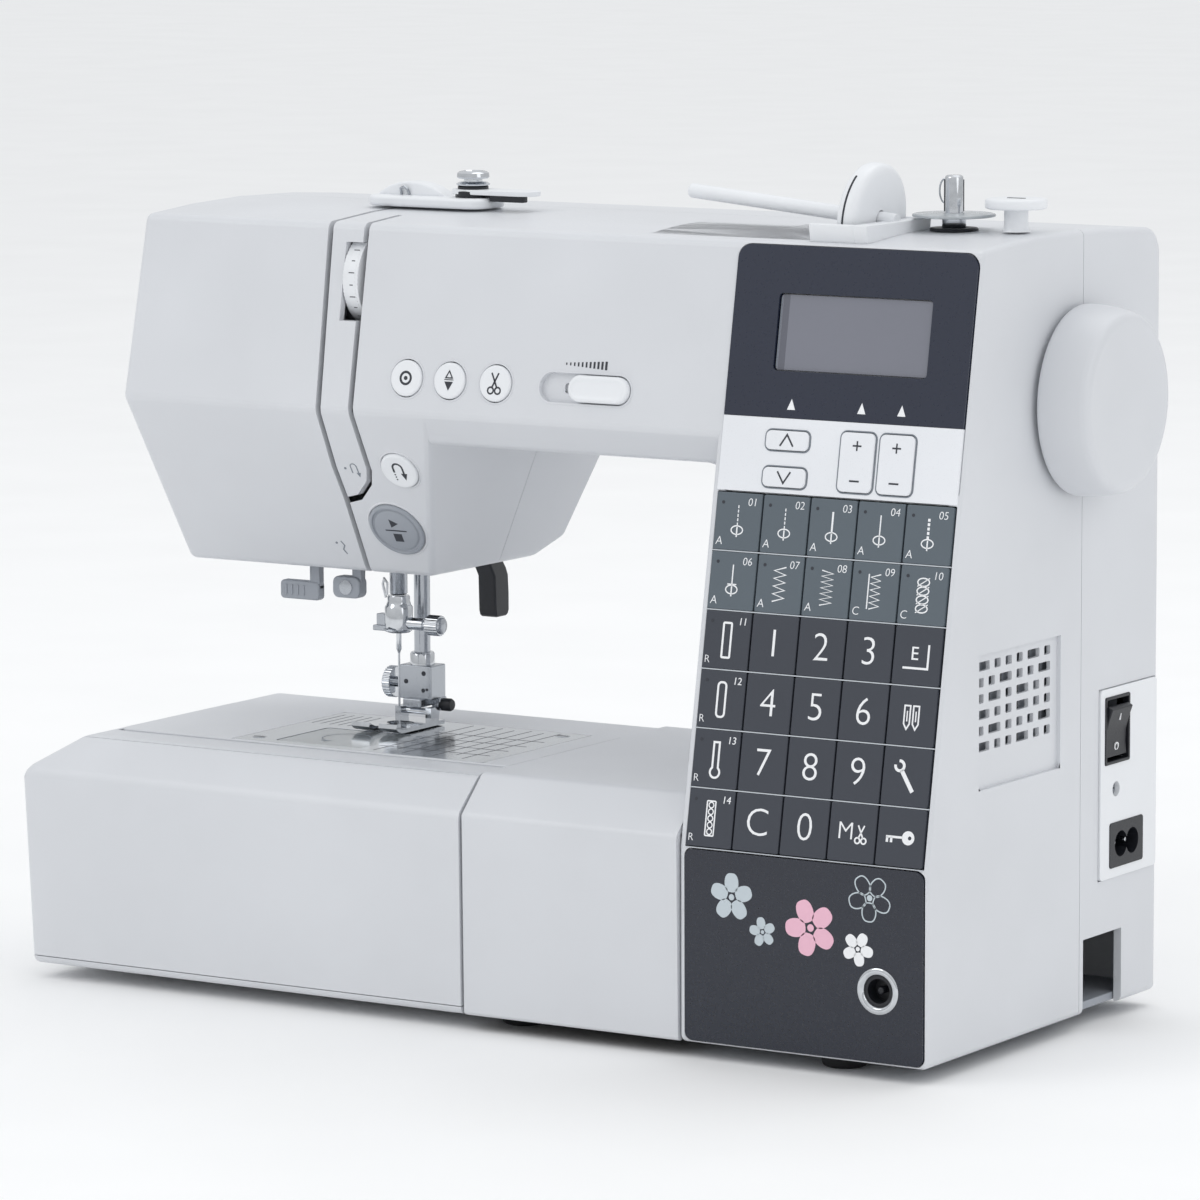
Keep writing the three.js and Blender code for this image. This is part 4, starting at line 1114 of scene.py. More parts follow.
def seat_ring(place, name, cu, cv, inner, outer):
    """The raised lip of the casing round a button."""
    profile = [
        (inner, -1), (inner, 0.12), (inner + 0.25, 0.3), (outer - 0.25, 0.26), (outer, -0.02),
        (outer, -1),
    ]
    Form(place).turned(profile, cu, cv, 72).piece(name, "machine", CASING)


def arm_controls():
    low, high = BUTTON_FACE - 0.08, BUTTON_FACE + INK
    for name, u in ARM_BUTTONS.items():
        round_button(PANEL, name, u, ARM_BUTTON_V, ARM_BUTTON_R, 1.1)
        seat_ring(PANEL, name + "_lip", u, ARM_BUTTON_V, 6.88, 7.6)
    u = ARM_BUTTONS["stop_mode_button"]
    sign = Form(PANEL).prism(circle(u, ARM_BUTTON_V, 2.6, 40), low, high,
        [circle(u, ARM_BUTTON_V, 1.75, 40)])
    sign.prism(circle(u, ARM_BUTTON_V, 0.75, 20), low, high)
    sign.piece("stop_mode_sign", "stop_mode_button", DARK_PRINT_AND_SHADE)
    u = ARM_BUTTONS["needle_button"]
    sign = Form(PANEL).stroke(triangle(u, ARM_BUTTON_V + 2.2, 2.8, 2.5), 0.45, low, high, closed=True)
    mirror = 2 * (ARM_BUTTON_V - 1.2)
    down = [(a, mirror - b) for a, b in triangle(u, ARM_BUTTON_V - 0.4, 3.6, 3.2)]
    sign.prism(down, low, high)
    sign.box(u - 1.9, u + 1.9, ARM_BUTTON_V + 0.15, ARM_BUTTON_V + 0.45, low, high)
    sign.piece("needle_button_sign", "needle_button", DARK_PRINT_AND_SHADE)
    sign = Form(PANEL)
    scissors(lambda line, width, closed=False: sign.stroke(line, width, low, high, closed),
             ARM_BUTTONS["cutter_button"], ARM_BUTTON_V + 0.2, 3.5, 0.6)
    sign.piece("cutter_sign", "cutter_button", DARK_PRINT_AND_SHADE)


def speed_control():
    _, u1, v0, v1 = SLIDER
    left, right, low, high = 21.2, u1 - 0.4, v0 + 0.5, v1 - 0.5
    levels = [(0, -1.9), (0, 1.5), (0.25, 1.95), (0.8, 2.2), (1.5, 2.2), (1.9, 1.95), (2.6, 1.9)]
    stack = [
        (w, pill(left + inset, right - inset, low + inset, high - inset, 14)) for inset, w in levels
    ]
    knob = Form(PANEL).stack(stack).box(31, 35, 154.2, 156.8, -7, -1.8)
    knob.box(11.5, 46, 152.8, 158.2, -4.2, -3.6)
    knob.piece("speed_knob", "speed_slider", TRIM, angle=40, node="speed_slider")
    Form(PANEL).prism(pill(*grown(SLIDER, 0.75), 16), -0.6, 0.16,
        [pill(*grown(SLIDER, 0.02), 16)]).piece(
        "slider_lip", "machine", CASING, 0.1)
    ticks = Form(PANEL)
    for i in range(11):
        u = 18.8 + 1.64 * i
        height, width = 0.8 + 0.22 * i, 0.45 + 0.045 * i
        ticks.box(u - width / 2, u + width / 2, 164 - height / 2, 164 + height / 2, -0.05, INK)
    ticks.piece("speed_ticks", "machine", DARK_PRINT_AND_SHADE)


def head_controls():
    u, v, radius = REVERSE
    round_button(HEAD_FACE, "reverse_button", u, v, radius, 1)
    seat_ring(HEAD_FACE, "reverse_lip", u, v, radius + 0.38, radius + 1.1)
    low, high = BUTTON_FACE - 0.08, BUTTON_FACE + INK
    sign = Form(HEAD_FACE).stroke([(u - 2, v - 0.4), *arc(u, v + 1.6, 2, 180, 0, 10), (u + 2, v - 1)],
        0.75, low, high)
    sign.prism([(u + 0.7, v - 0.8), (u + 3.3, v - 0.8), (u + 2, v - 3.8)], low, high)
    for k in range(3):
        sign.prism(circle(u - 2 + 0.1 * k, v - 1.4 - 1.1 * k, 0.32, 12), low, high)
    sign.piece("reverse_sign", "reverse_button", DARK_PRINT_AND_SHADE)
    u, v, radius = START
    profile = [
        (0, -5.6), (radius, -5.6), (radius, 0.5), (radius - 0.15, 0.9), (radius - 0.6, 1.15),
        (radius - 1.2, 1.1), (radius - 1.5, 0.55), (radius - 2.1, 0.5), (radius - 2.4, 0.9),
        (radius - 3, 1.1), (0, 0.98),
    ]
    Form(HEAD_FACE).turned(profile, u, v, 96).piece("start_cap", "start_button", GREY,
        node="start_button")
    seat_ring(HEAD_FACE, "start_lip", u, v, radius + 0.38, radius + 1.2)
    play = [(u - 1.5, v + 1.4), (u + 1.9, v + 3.3), (u - 1.5, v + 5.2)]
    sign = Form(HEAD_FACE).prism(play, low, high)
    sign.box(u - 4.6, u + 4.6, v - 0.25, v + 0.25, low, high)
    sign.box(u - 1.8, u + 1.8, v - 5, v - 1.5, low, high)
    sign.piece("start_sign", "start_button", DARK_PRINT_AND_SHADE)


def tension_dial():
    """A wheel with a knurled rim, a groove in its middle and a scale of short lines."""
    count, radius = 72, DIAL["r"]
    knurl = []
    for i in range(count * 2):
        turn = math.pi * i / count
        reach = radius if i % 2 else radius - 0.28
        knurl.append((DIAL["y"] + reach * math.cos(turn), DIAL["z"] + reach * math.sin(turn)))
    left, right = DIAL["x0"], DIAL["x1"]
    wheel = Form(ALONG_X).prism(knurl, left, left + 2.1).prism(knurl, right - 1.2, right)
    wheel.prism(circle(DIAL["y"], DIAL["z"], radius - 0.1, 96), left + 2, right - 1.1)
    wheel.piece("dial_wheel", "tension_dial", TRIM, 0.12, angle=60, node="tension_dial")
    scale = Form()
    for i in range(24):
        turn = math.radians(15 * i + 4)
        out = Vector((0, math.cos(turn), math.sin(turn)))
        centre = Vector((left + 3.7, DIAL["y"], DIAL["z"])) + out * (radius - 0.1)
        face = Form(local_frame(centre, (1, 0, 0), out.cross(Vector((1, 0, 0)))))
        half = 1.2 if i % 2 else 0.7
        face.box(-half, half, -0.16, 0.16, -0.05, INK)
        face.mesh.transform(face.place)
        shape = bpy.data.meshes.new("line")
        face.mesh.to_mesh(shape)
        scale.mesh.from_mesh(shape)
        face.mesh.free()
        bpy.data.meshes.remove(shape)
    scale.piece("dial_scale", "tension_dial", DARK_PRINT_AND_SHADE)


def threading_marks():
    """Small printed guides for the thread's path beside the slits."""
    form = Form(HEAD_FACE)
    thread = [(-80.6, -29), (-80.6, -26), *arc(-79.3, -26, 1.3, 180, 0, 8), (-78, -29)]
    form.stroke(thread, 0.4, -0.03, INK)
    form.prism([(-78.9, -28.8), (-77.1, -28.8), (-78, -30.8)], -0.03, INK)
    form.prism(circle(-83.2, -27, 0.5, 12), -0.03, INK)
    form.stroke([(-98.4, -62), (-97.4, -64), (-98.6, -66), (-97.6, -68)], 0.45, -0.03, INK)
    form.prism(circle(-100.6, -63, 0.5, 12), -0.03, INK)
    form.piece("threading_marks", "machine", GREY_PRINT_AND_HIGHLIGHT)


for build in (
    arm_controls, speed_control, head_controls, tension_dial, threading_marks,
):
    build()

# ---------------------------------------------------------------- right side

SOCKET_PLATE = (40, 82.5, 51.8, 120)
ROCKER = {"y0": 44.6, "y1": 60.1, "x": 176, "z": 104.9, "tilt": 8}
SOCKET_SCREW = (51.8, 83.5)
INLET = (46.9, 72.1, 55.3, 71.5)


def vent():
    # Black blocks in the left half of each wide opening: painted shadow inside the vent.
    frame_form, black = Form(ALONG_X), Form(ALONG_X)
    for y0, y1, z0, z1, wide in vent_cells():
        if wide:
            black.box(y0, (y0 + y1) / 2, z0, z1, 176.2, 177.3)
    frame_form.box(-47.2, 10.6, 106.4, 143, 174.4, 175.4)
    frame_form.piece("vent_screen", "machine", GREY, 0.2)
    black.piece("vent_painted_shadows", "machine", BLACK)


def figure_eight(cu, cv, radius, half, steps=14):
    lean = math.degrees(math.acos(half / radius))
    return [*arc(cu + half, cv, radius, -180 + lean, 180 - lean, steps)[1:],
            *arc(cu - half, cv, radius, lean, 360 - lean, steps)]


def socket_unit():
    y0, y1, z0, z1 = SOCKET_PLATE
    rocker = (ROCKER["y0"] - 0.4, ROCKER["y1"] + 0.4, ROCKER["z"] - 11, ROCKER["z"] + 11)
    Form(ALONG_X).prism(rounded(y0, y1, z0, z1, 1.6), 179.3, 181.3, [
        rounded(*grown(rocker, 1.2), 0.8), rounded(*grown(INLET, 0.05), 1.2),
        circle(*SOCKET_SCREW, 2.7, 32)]).piece(
        "socket_plate", "machine", TRIM, 0.3, node="socket_unit")
    Form(ALONG_X).prism(rounded(44, 76, 54, 117, 1), 165, 179.2, [
        rounded(*rocker, 0.5), rounded(*grown(INLET, 0.1), 1), circle(*SOCKET_SCREW, 2.7, 32)]).piece(
        "socket_body", "machine", GREY, 0.3, node="socket_unit")
    Form(ALONG_X).prism(rounded(*grown(rocker, 1.15), 0.8), 176.5, 181.7,
        [rounded(*rocker, 0.5)]).piece(
        "rocker_frame", "machine", BLACK, 0.25)
    cu, cv = (INLET[0] + INLET[1]) / 2, (INLET[2] + INLET[3]) / 2
    Form(ALONG_X).prism(rounded(*INLET, 1.1), 172, 181.6, [figure_eight(cu, cv, 4.7, 4.3)]).piece(
        "inlet_block", "machine", BLACK, 0.3)
    Form(ALONG_X).prism(rounded(*INLET, 1.1), 168, 172.1).piece("inlet_floor", "machine", BLACK, 0.2)
    pins = Form(ALONG_X)
    for y in (cu - 4.3, cu + 4.3):
        pins.turned([(0, 171), (1.1, 171), (1.1, 178.2), (0.8, 178.9), (0, 179)], y, cv, 20)
    pins.piece("inlet_pins", "machine", CHROME)
    screw = [(0, 174), (2.5, 174), (2.5, 179.2), (2.2, 179.6), (0, 179.7)]
    Form(ALONG_X).turned(screw, *SOCKET_SCREW, 40).piece("socket_screw", "machine", STEEL)
    # A dark cross on the screw head: painted shade inside its cross recess.
    Form(ALONG_X).prism(cross_shape(*SOCKET_SCREW, 1.5, 0.25), 179.6, 179.78).piece(
        "socket_screw_cross_shadow", "machine", on("black_plastic", DARK_PRINT_AND_SHADE))


def power_rocker():
    turn = Matrix.Rotation(math.radians(ROCKER["tilt"]), 4, "Y")
    place = Matrix.Translation((ROCKER["x"], 0, ROCKER["z"])) @ turn @ ALONG_Y
    outline = [
        (-4, -4), (4.4, -9.6), (6.4, -8.8), (5.5, -4.5), (5, 0), (5.5, 4.5), (6.4, 8.8), (4.4, 9.6),
        (-4, 4),
    ]
    Form(place).prism([(-x, z) for x, z in outline], ROCKER["y0"] + 0.05, ROCKER["y1"] - 0.05).piece(
        "rocker", "power_switch", BLACK, 0.4, 3, node="power_switch")
    face = Matrix.Translation((ROCKER["x"], 0, ROCKER["z"])) @ turn @ ALONG_X
    middle = (ROCKER["y0"] + ROCKER["y1"]) / 2
    signs = Form(face).prism(circle(middle, -5.4, 1.5, 24), 5.5, 5.95, [circle(middle, -5.4, 1.05, 24)])
    signs.box(middle - 0.25, middle + 0.25, 4.2, 7.2, 5.5, 5.95)
    signs.piece("rocker_signs", "power_switch", INK_WHITE)


def handwheel():
    profile = [
        (0, 188), (4.3, 188), (4.3, 182.4), (32.6, 182.4), (33.2, 182.7), (33.45, 183.2),
        (33.5, 184.5), (33.3, 189), (32.7, 194), (31.9, 197.8), (31.2, 199.6), (30.4, 200.5),
        (29.3, 201), (27.5, 200.95), (24, 200.5), (12, 200.2), (0, 200.2),
    ]
    Form(ALONG_X).turned(profile, *SHAFT, 128).piece(
        "handwheel_rim", "main_shaft", CASING, node="handwheel")


# ---------------------------------------------------------------- roof

SPOOL_LINE = Matrix.Translation((48.5, -20, 295.9)) @ Matrix.Rotation(0.0946, 4, "Y") @ ALONG_X


def spool_holder():
    profile = [(0, 0), (1.7, 0.1), (2.3, 0.5), (2.6, 1.2), (2.6, 84), (0, 84)]
    Form(SPOOL_LINE).turned(profile, 0, 0, 40).piece("spool_rod", "machine", TRIM, node="spool_pin")
    outer, end, bore = [
        arc(*TROUGH_AXIS, radius, 180 + level, 360 - level, 60)
        for radius in (22.8, 22.78, TROUGH["bore"])
        for level in [math.degrees(math.asin(1 / radius))]
    ]
    Form(ALONG_X).prism(outer + bore[::-1], 110, 128).prism(end, 127.6, 133).piece(
        "spool_saddle", "machine", TRIM, 0.5, 3, node="spool_pin")


def spool_cap():
    x0, x1, radius = 69.8, 77.8, 19.2
    profile = [
        (3, x0 + 0.6), (8, x0 + 0.25), (radius - 3.2, x0), (radius - 1.6, x0 + 0.35),
        (radius - 0.6, x0 + 1.1), (radius - 0.1, x0 + 2.1), (radius, x0 + 3), (radius, x1 - 2.6),
        (radius - 0.15, x1 - 1.7), (radius - 0.7, x1 - 0.9), (radius - 1.7, x1 - 0.25),
        (radius - 3, x1), (6, x1 - 0.1), (3, x1 - 0.4),
    ]
    Form(SPOOL_LINE).turned(profile, 0, 0, 128).piece("spool_disc", "spool_cap", TRIM, node="spool_cap")
    # A dark line along the disc's rim: painted shade inside its slit.
    slit = [(*point, x0 + 3.4) for point in arc(0, 0, radius - 0.06, 128, 200, 40)]
    Form(SPOOL_LINE).tube(slit, 0.38, 8).piece(
        "spool_disc_slit_shadow", "spool_cap", on("black_plastic", DARK_PRINT_AND_SHADE))


def bobbin_winder():
    profile = [
        (0, 262), (10, 262), (10, 266), (2.4, 266), (2.4, 284.6), (3.9, 284.6), (4.2, 284.9),
        (4.2, 288.4), (3.2, 288.6), (3.2, 302.2), (3, 302.8), (2.5, 303.15), (0, 303.2),
    ]
    Form().turned(profile, *SPINDLE, 64).piece(
        "winder_pin", "bobbin_spindle", CHROME, node="bobbin_spindle")
    disc = [
        (4.1, 288.5), (14, 288.75), (14.5, 288.9), (14.6, 289.3), (14.4, 289.7), (13.8, 289.85),
        (3.3, 290.2), (3.3, 288.5),
    ]
    Form().turned(disc, *SPINDLE, 96).piece("winder_disc", "bobbin_spindle", CLOUDY,
        node="bobbin_spindle")
    cu, cv = SPINDLE
    hoop = [(cu - 3.2 - 2.2 * math.sin(t), cv - 0.6, 297.6 + 4.2 * math.cos(t))
            for t in (math.pi * i / 14 for i in range(15))]
    Form().tube(hoop, 0.32, 8).piece("winder_spring", "bobbin_spindle", STEEL)
    # Two dark lines along the pin: painted shade inside its grooves.
    for angle in (35, 215):
        t = math.radians(angle)
        line = [(cu + 3.25 * math.cos(t), cv + 3.25 * math.sin(t), z) for z in (290.6, 301.6)]
        Form().tube(line, 0.3, 8).piece(f"winder_groove_shadow_{angle}", "bobbin_spindle",
            on("black_plastic", DARK_PRINT_AND_SHADE))
    well = [
        (3.4, 283.9), (8.4, 283.9), (8.6, 284.5), (8.2, 284.9), (5.4, 285), (4.6, 284.7),
        (3.4, 284.6),
    ]
    Form().turned(well, cu, cv, 48).piece("winder_well", "machine", BLACK)


def bobbin_stop():
    cu, cv = 168, 0
    profile = [
        (0, 284.5), (5, 284.5), (4.6, 285.2), (4.3, 286.4), (4.2, 288), (4.2, 291.8), (4.8, 292.25),
        (10.1, 292.4), (10.6, 292.7), (10.8, 293.2), (10.8, 295.1), (10.5, 295.7), (9.9, 295.95),
        (9, 296), (0, 296),
    ]
    Form().turned(profile, cu, cv, 96).piece("stopper_knob", "machine", TRIM, node="bobbin_stopper")
    # A dark pill on the knob's top: painted shade inside its slot.
    Form().prism(pill(cu - 3.6, cu + 3.6, cv - 0.9, cv + 0.9), 295.9, 296.12).piece(
        "stopper_slot_shadow", "machine", on("grey_plastic", DARK_PRINT_AND_SHADE))


def thread_guide():
    Form().prism(rounded(-98, -46, -11, 11, 8, 10), 284.6, 288.4).piece(
        "guide_base", "machine", TRIM, 1.3, 5, node="thread_guide")
    dome = [
        (-97, 287.8), (-95, 289.6), (-91.5, 291.5), (-87, 292.9), (-82, 293.4), (-77, 293),
        (-72.5, 291.7), (-68.5, 289.8), (-66, 287.8),
    ]
    Form(ALONG_Y).prism([(-x, z) for x, z in dome], -2.5, 5).piece(
        "guide_dome", "machine", TRIM, 1.2, 4)
    hook = [
        (-85.5, -2.7, 288.6), (-85.3, -3.6, 290.8), (-83.8, -3.9, 291.5), (-82.4, -3.6, 290.6),
        (-82, -2.7, 288.6),
    ]
    Form().tube(hook, 0.5, 10).piece("guide_hook", "machine", STEEL)
    Form().prism(pill(-64, -28, -6, 6), 289.6, 291.4).piece("guide_lever", "machine", TRIM, 0.7, 3)
    Form().prism(rounded(-46, -31, -5.4, -1.6, 1.2), 287.4, 289.7).piece(
        "guide_bar", "machine", BLACK, 0.4)
    collar = [(0, 288), (6.2, 288), (6.5, 288.4), (6.5, 290.6), (5.6, 291), (5.6, 292.3), (0, 292.3)]
    Form().turned(collar, -56, 0, 64).piece("tension_post", "machine", BLACK)
    head = [
        (0, 292.2), (5, 292.3), (6, 292.8), (6.2, 293.3), (5.2, 293.9), (3.4, 294.2), (3.4, 294.9),
        (5.6, 295.3), (6, 295.9), (5.8, 297.2), (5, 297.8), (3.8, 298), (3.2, 297.4), (0, 297.4),
    ]
    Form().turned(head, -56, 0, 72).piece("tension_screw", "machine", CHROME, angle=40)
    # A dark bar on the screw head: painted shade inside its slot.
    Form().box(-58.6, -53.4, -0.5, 0.5, 297.3, 297.6).piece(
        "tension_screw_slot_shadow", "machine", on("black_plastic", DARK_PRINT_AND_SHADE))


# ---------------------------------------------------------------- needle and presser

NEEDLE = (-88, -3)
PRESSER = (-88, 12.5)


def knurled(place, cu, cv, radius, low, high, teeth=28, depth=0.35):
    outline = []
    for i in range(teeth * 2):
        turn = math.pi * i / teeth
        reach = radius - (depth if i % 2 else 0)
        outline.append((cu + reach * math.cos(turn), cv + reach * math.sin(turn)))
    return Form(place).prism(outline, low, high)


def needle_group():
    body = "needle_bar"
    Form().turned([(0, 141), (2.8, 141), (3.3, 141.5), (3.3, 252), (0, 252)], *NEEDLE, 48).piece(
        "needle_rod", body, STEEL, node="needle_bar")
    clamp = [
        (0, 127), (4.2, 127), (4.9, 127.6), (5.2, 128.4), (5.2, 136.4), (4.6, 137.2), (4.2, 138.6),
        (4.2, 140), (3.9, 140.7), (0, 140.7),
    ]
    Form().turned(clamp, *NEEDLE, 48).piece("clamp_collar", body, CHROME, angle=40, node="needle_clamp")
    screw = [(0, -88), (2.3, -88), (2.3, -76.6), (1.8, -76.2), (1.8, -74.6), (0, -74.6)]
    Form(ALONG_X).turned(screw, NEEDLE[1], 130.5, 40).piece("clamp_screw", body, CHROME, angle=40)
    head = knurled(ALONG_X, NEEDLE[1], 130.5, 3.9, -74.7, -69.2, 22)
    head.piece("clamp_thumb", body, CHROME, 0.25)
    cap = [(0, -69.4), (3.1, -69.4), (3.1, -68.8), (2.7, -68.4), (0, -68.3)]
    Form(ALONG_X).turned(cap, NEEDLE[1], 130.5, 32).piece("clamp_thumb_end", body, STEEL)
    sharp = [
        (0, 97), (0.16, 97.5), (0.36, 99), (0.42, 100.5), (0.42, 119), (0.6, 119.8), (1, 120.6),
        (1, 126.9), (0, 126.9),
    ]
    Form().turned(sharp, *NEEDLE, 24).piece("needle_shaft", body, on("steel", CHROME), node="needle")
    x, y = NEEDLE
    guide = [
        (x - 1.6, y - 4.6, 128.6), (x - 2.6, y - 6, 128.4), (x - 0.6, y - 6.6, 128.1),
        (x + 1.6, y - 6, 127.9), (x + 1.8, y - 4.9, 128.2),
    ]
    Form().tube(guide, 0.4, 10).piece("needle_thread_guide", body, STEEL)
    hook = [
        (x - 5, y - 1, 139.6), (x - 5.6, y - 2, 144.6), (x - 4.2, y - 3.2, 147),
        (x - 2.6, y - 3.6, 145.4), (x - 2.6, y - 3.8, 141),
    ]
    Form().tube(hook, 0.5, 10).piece("clamp_hook", body, TRIM)
    pivot = Form().box(x - 8.4, x - 4, y - 2.4, y + 1.4, 128.6, 133.6)
    pivot.box(x - 9.4, x - 3, y - 3.4, y + 0.6, 127.4, 129.4)
    pivot.piece("threader_seat", body, STEEL, 0.35)


def presser_group():
    Form().turned([(0, 113.5), (3, 113.5), (3, 246), (0, 246)], *PRESSER, 48).piece(
        "presser_rod", "presser_bar", STEEL, node="presser_bar")
    holder = Form().box(-95, -81, 7.5, 17.5, 100.5, 113.2).box(-92, -84, 5, 13.5, 97.8, 101)
    holder.box(-84.5, -80.5, 13, 17.5, 96, 101)
    holder.piece("holder_block", "presser_bar", on("chrome", STEEL), 0.5, 3, node="foot_holder")
    Form().turned([(0, 112.5), (4.6, 112.5), (4.6, 117.2), (4.1, 117.8), (0, 117.8)], *PRESSER,
        40).piece(
        "holder_neck", "presser_bar", CHROME)
    y = PRESSER[1]
    Form(ALONG_X).turned([(0, -99.6), (2, -99.6), (2, -94.5), (0, -94.5)], y, 105.7, 32).piece(
        "holder_screw", "presser_bar", CHROME)
    wheel = knurled(ALONG_X, y, 105.7, 6, -102.6, -99.2, 30, 0.4)
    wheel.piece("holder_thumb", "presser_bar", CHROME, 0.25)
    hub = [(0, -103), (2.2, -103), (2.6, -102.8), (3.6, -102.5), (0, -102.4)]
    Form(ALONG_X).turned(hub, y, 105.7, 32).piece("holder_thumb_hub", "presser_bar", BLACK)
    release = [(0, -81.2), (2.4, -81.2), (2.4, -77.4), (1.9, -76.6), (0, -76.5)]
    Form(ALONG_X).turned(release, 15.2, 98.2, 32).piece("foot_release", "presser_bar", BLACK)
    # Dark discs on the holder's front: painted shade inside its holes.
    hole_shadows = Form(FRONT)
    for cu, cv, radius in ((-84.2, 110.4, 0.9), (-84.4, 104, 0.8), (-82.8, 104.4, 0.55),
        (-92, 107, 0.9)):
        hole_shadows.prism(circle(cu, cv, radius, 20), -7.55, -7.4)
    hole_shadows.piece("holder_hole_shadows", "presser_bar", on("black_plastic", DARK_PRINT_AND_SHADE))


SOLE_SIDE = [
    (-20, 93.6), (-18.6, 92.5), (-16.5, 91.75), (-14, 91.6), (12, 91.6), (12, 93.2), (-13.6, 93.2),
    (-16, 93.5), (-18, 94.3), (-19.6, 95.2),
]


def presser_foot():
    sole = Solid(across(SOLE_SIDE, -98, -78))
    inner_slot = Solid(Form().prism(pill(-93.2, -82.8, -6.5, 1.5, 10), 90, 97))
    toe_gap = Solid(Form().prism(rounded(-90, -86, -26, -5, 1.6), 88, 99))
    sole = sole.cut(inner_slot, toe_gap)
    ears = [block(-96, -93.5, 6, 12, 92.5, 97.8), block(-82.5, -80, 6, 12, 92.5, 97.8)]
    pin = rod(ALONG_X, 1.2, -94, -82, 9, 96, 32)
    sole.join(*ears, pin).piece("zigzag_foot", "presser_foot", on("steel", CHROME), "presser_foot")


def presser_lever():
    x = NEEDLE[0]
    outline = [
        (37, 168), (37, 176), (46, 176), (53, 162.5), (60, 149), (64, 144), (65.5, 141), (66, 134),
        (66, 127.5), (65.3, 126), (64, 125.4), (58, 125.4), (57, 126), (56.5, 128), (56, 141),
        (51, 149),
    ]
    Form(ALONG_X).prism(outline, x - 3.9, x + 3.9).piece(
        "lifter_lever", "presser_lifter", BLACK, 0.8, 4, node="presser_lifter")
    ribs = Form(facing_back(66))
    for k in range(5):
        ribs.box(-x - 2.6, -x + 2.6, 129 + 2.2 * k, 129.8 + 2.2 * k, -0.3, 0.25)
    ribs.piece("lifter_ribs", "presser_lifter", BLACK, 0.12)


def threader():
    body = "threader_lever"
    rods = Form().box(-124, -119.5, -8.6, -5.4, 141, 170).box(-124, -101, -8.6, -5.4, 164, 170)
    rods.box(-105, -101, -8.6, -5.4, 144, 170)
    rods.piece("threader_arm", body, GREY, 0.5, 3, node="threader_lever")
    Form(FRONT).prism(rounded(-137, -119.5, 137, 144, 1.6), 5, 9).piece(
        "threader_grip", body, GREY, 0.7, 4)
    ribs = Form(facing_front(-9))
    for k in range(4):
        ribs.box(-134.6 + 2.6 * k, -133.8 + 2.6 * k, 138.6, 142.4, -0.1, 0.3)
    ribs.piece("threader_ribs", body, GREY, 0.1)
    Form(FRONT).prism(rounded(-113, -101, 139, 147, 2.4), 4.4, 9.6).piece(
        "threader_head", body, GREY, 0.6, 3)
    wheel = [(0, 9.4), (2.8, 9.4), (2.8, 9.9), (2.4, 10), (0, 10)]
    Form(FRONT).turned(wheel, -107, 143, 32).piece("threader_pivot", body, STEEL)


# ---------------------------------------------------------------- plate and bobbin

FEED_BARS = ((-100, -97.5, -10, 8), (-90.2, -86.8, 2.2, 8), (-80.5, -78, -10, 8))


def needle_plate():
    holes = [rounded(-112, -74, -49.5, -14.5, 2.4)]
    for x0, x1, y0, y1 in FEED_BARS:
        holes.append(rounded(x0 - 0.6, x1 + 0.6, y0 - 2.4, y1 + 2.4, 0.7, 3))
    holes.append(pill(-92.5, -83.5, -4.2, -1.8))
    Form().prism(rounded(-127.5, -18, -54, 19, 1.2), 89.4, BED_TOP, holes).piece(
        "stitch_plate", "machine", PLATE, 0.18, node="needle_plate")
    marks = Form()
    for i in range(7):
        x = -68 + 6.4 * i
        marks.box(x, x + 0.35, -44 if i % 2 else -50, 14 if i % 2 else 16, BED_TOP - 0.05,
            BED_TOP + 0.04)
    for i in range(4):
        y = -40 + 12 * i
        marks.box(-72, -24, y, y + 0.3, BED_TOP - 0.05, BED_TOP + 0.045)
    for i in range(5):
        marks.box(-124 + 4 * i, -123.7 + 4 * i, -8, 14, BED_TOP - 0.05, BED_TOP + 0.04)
    marks.piece("plate_marks", "machine", DARK_PRINT_AND_SHADE)
    # A black ring down in the seam round the needle plate: painted shade of the gap.
    rim = rounded(*(-128, -17.4, -54.5, 19.5), 1.4)
    Form().prism(rim, BED_TOP - 1.9, BED_TOP - 0.5, [rounded(-127.6, -17.9, -54.1, 19.1, 1.2)]).piece(
        "plate_gap_shadow", "machine", BLACK)
    for i, (cu, cv) in enumerate(((-121, -46), (-26, 12))):
        head = [(0, 90.2), (2.9, 90.2), (2.9, 90.95), (2.5, 91.12), (0, 91.15)]
        Form().turned(head, cu, cv, 40).piece(f"plate_screw_{i + 1}", "machine", STEEL)
        # A dark bar on each screw head: painted shade inside its slot.
        Form().box(cu - 2.3, cu + 2.3, cv - 0.3, cv + 0.3, 91.1, 91.2).piece(
            f"plate_screw_slot_shadow_{i + 1}", "machine", DARK_PRINT_AND_SHADE)


def bobbin_cover():
    Form().prism(rounded(-111.7, -74.3, -49.2, -14.8, 2.2), 89.6, 90.9).piece(
        "bobbin_window", "bobbin_cover", CLEAR, 0.25, node="bobbin_cover")
    marks = Form()
    marks.stroke([*arc(-92.5, -31, 9, 20, 250, 24)], 0.4, 90.85, 90.95)
    marks.prism([(-97.4, -40.6), (-93.6, -39), (-94.4, -42)], 90.85, 90.95)
    marks.piece("bobbin_window_marks", "bobbin_cover", on("trim_white", GREY_PRINT_AND_HIGHLIGHT))


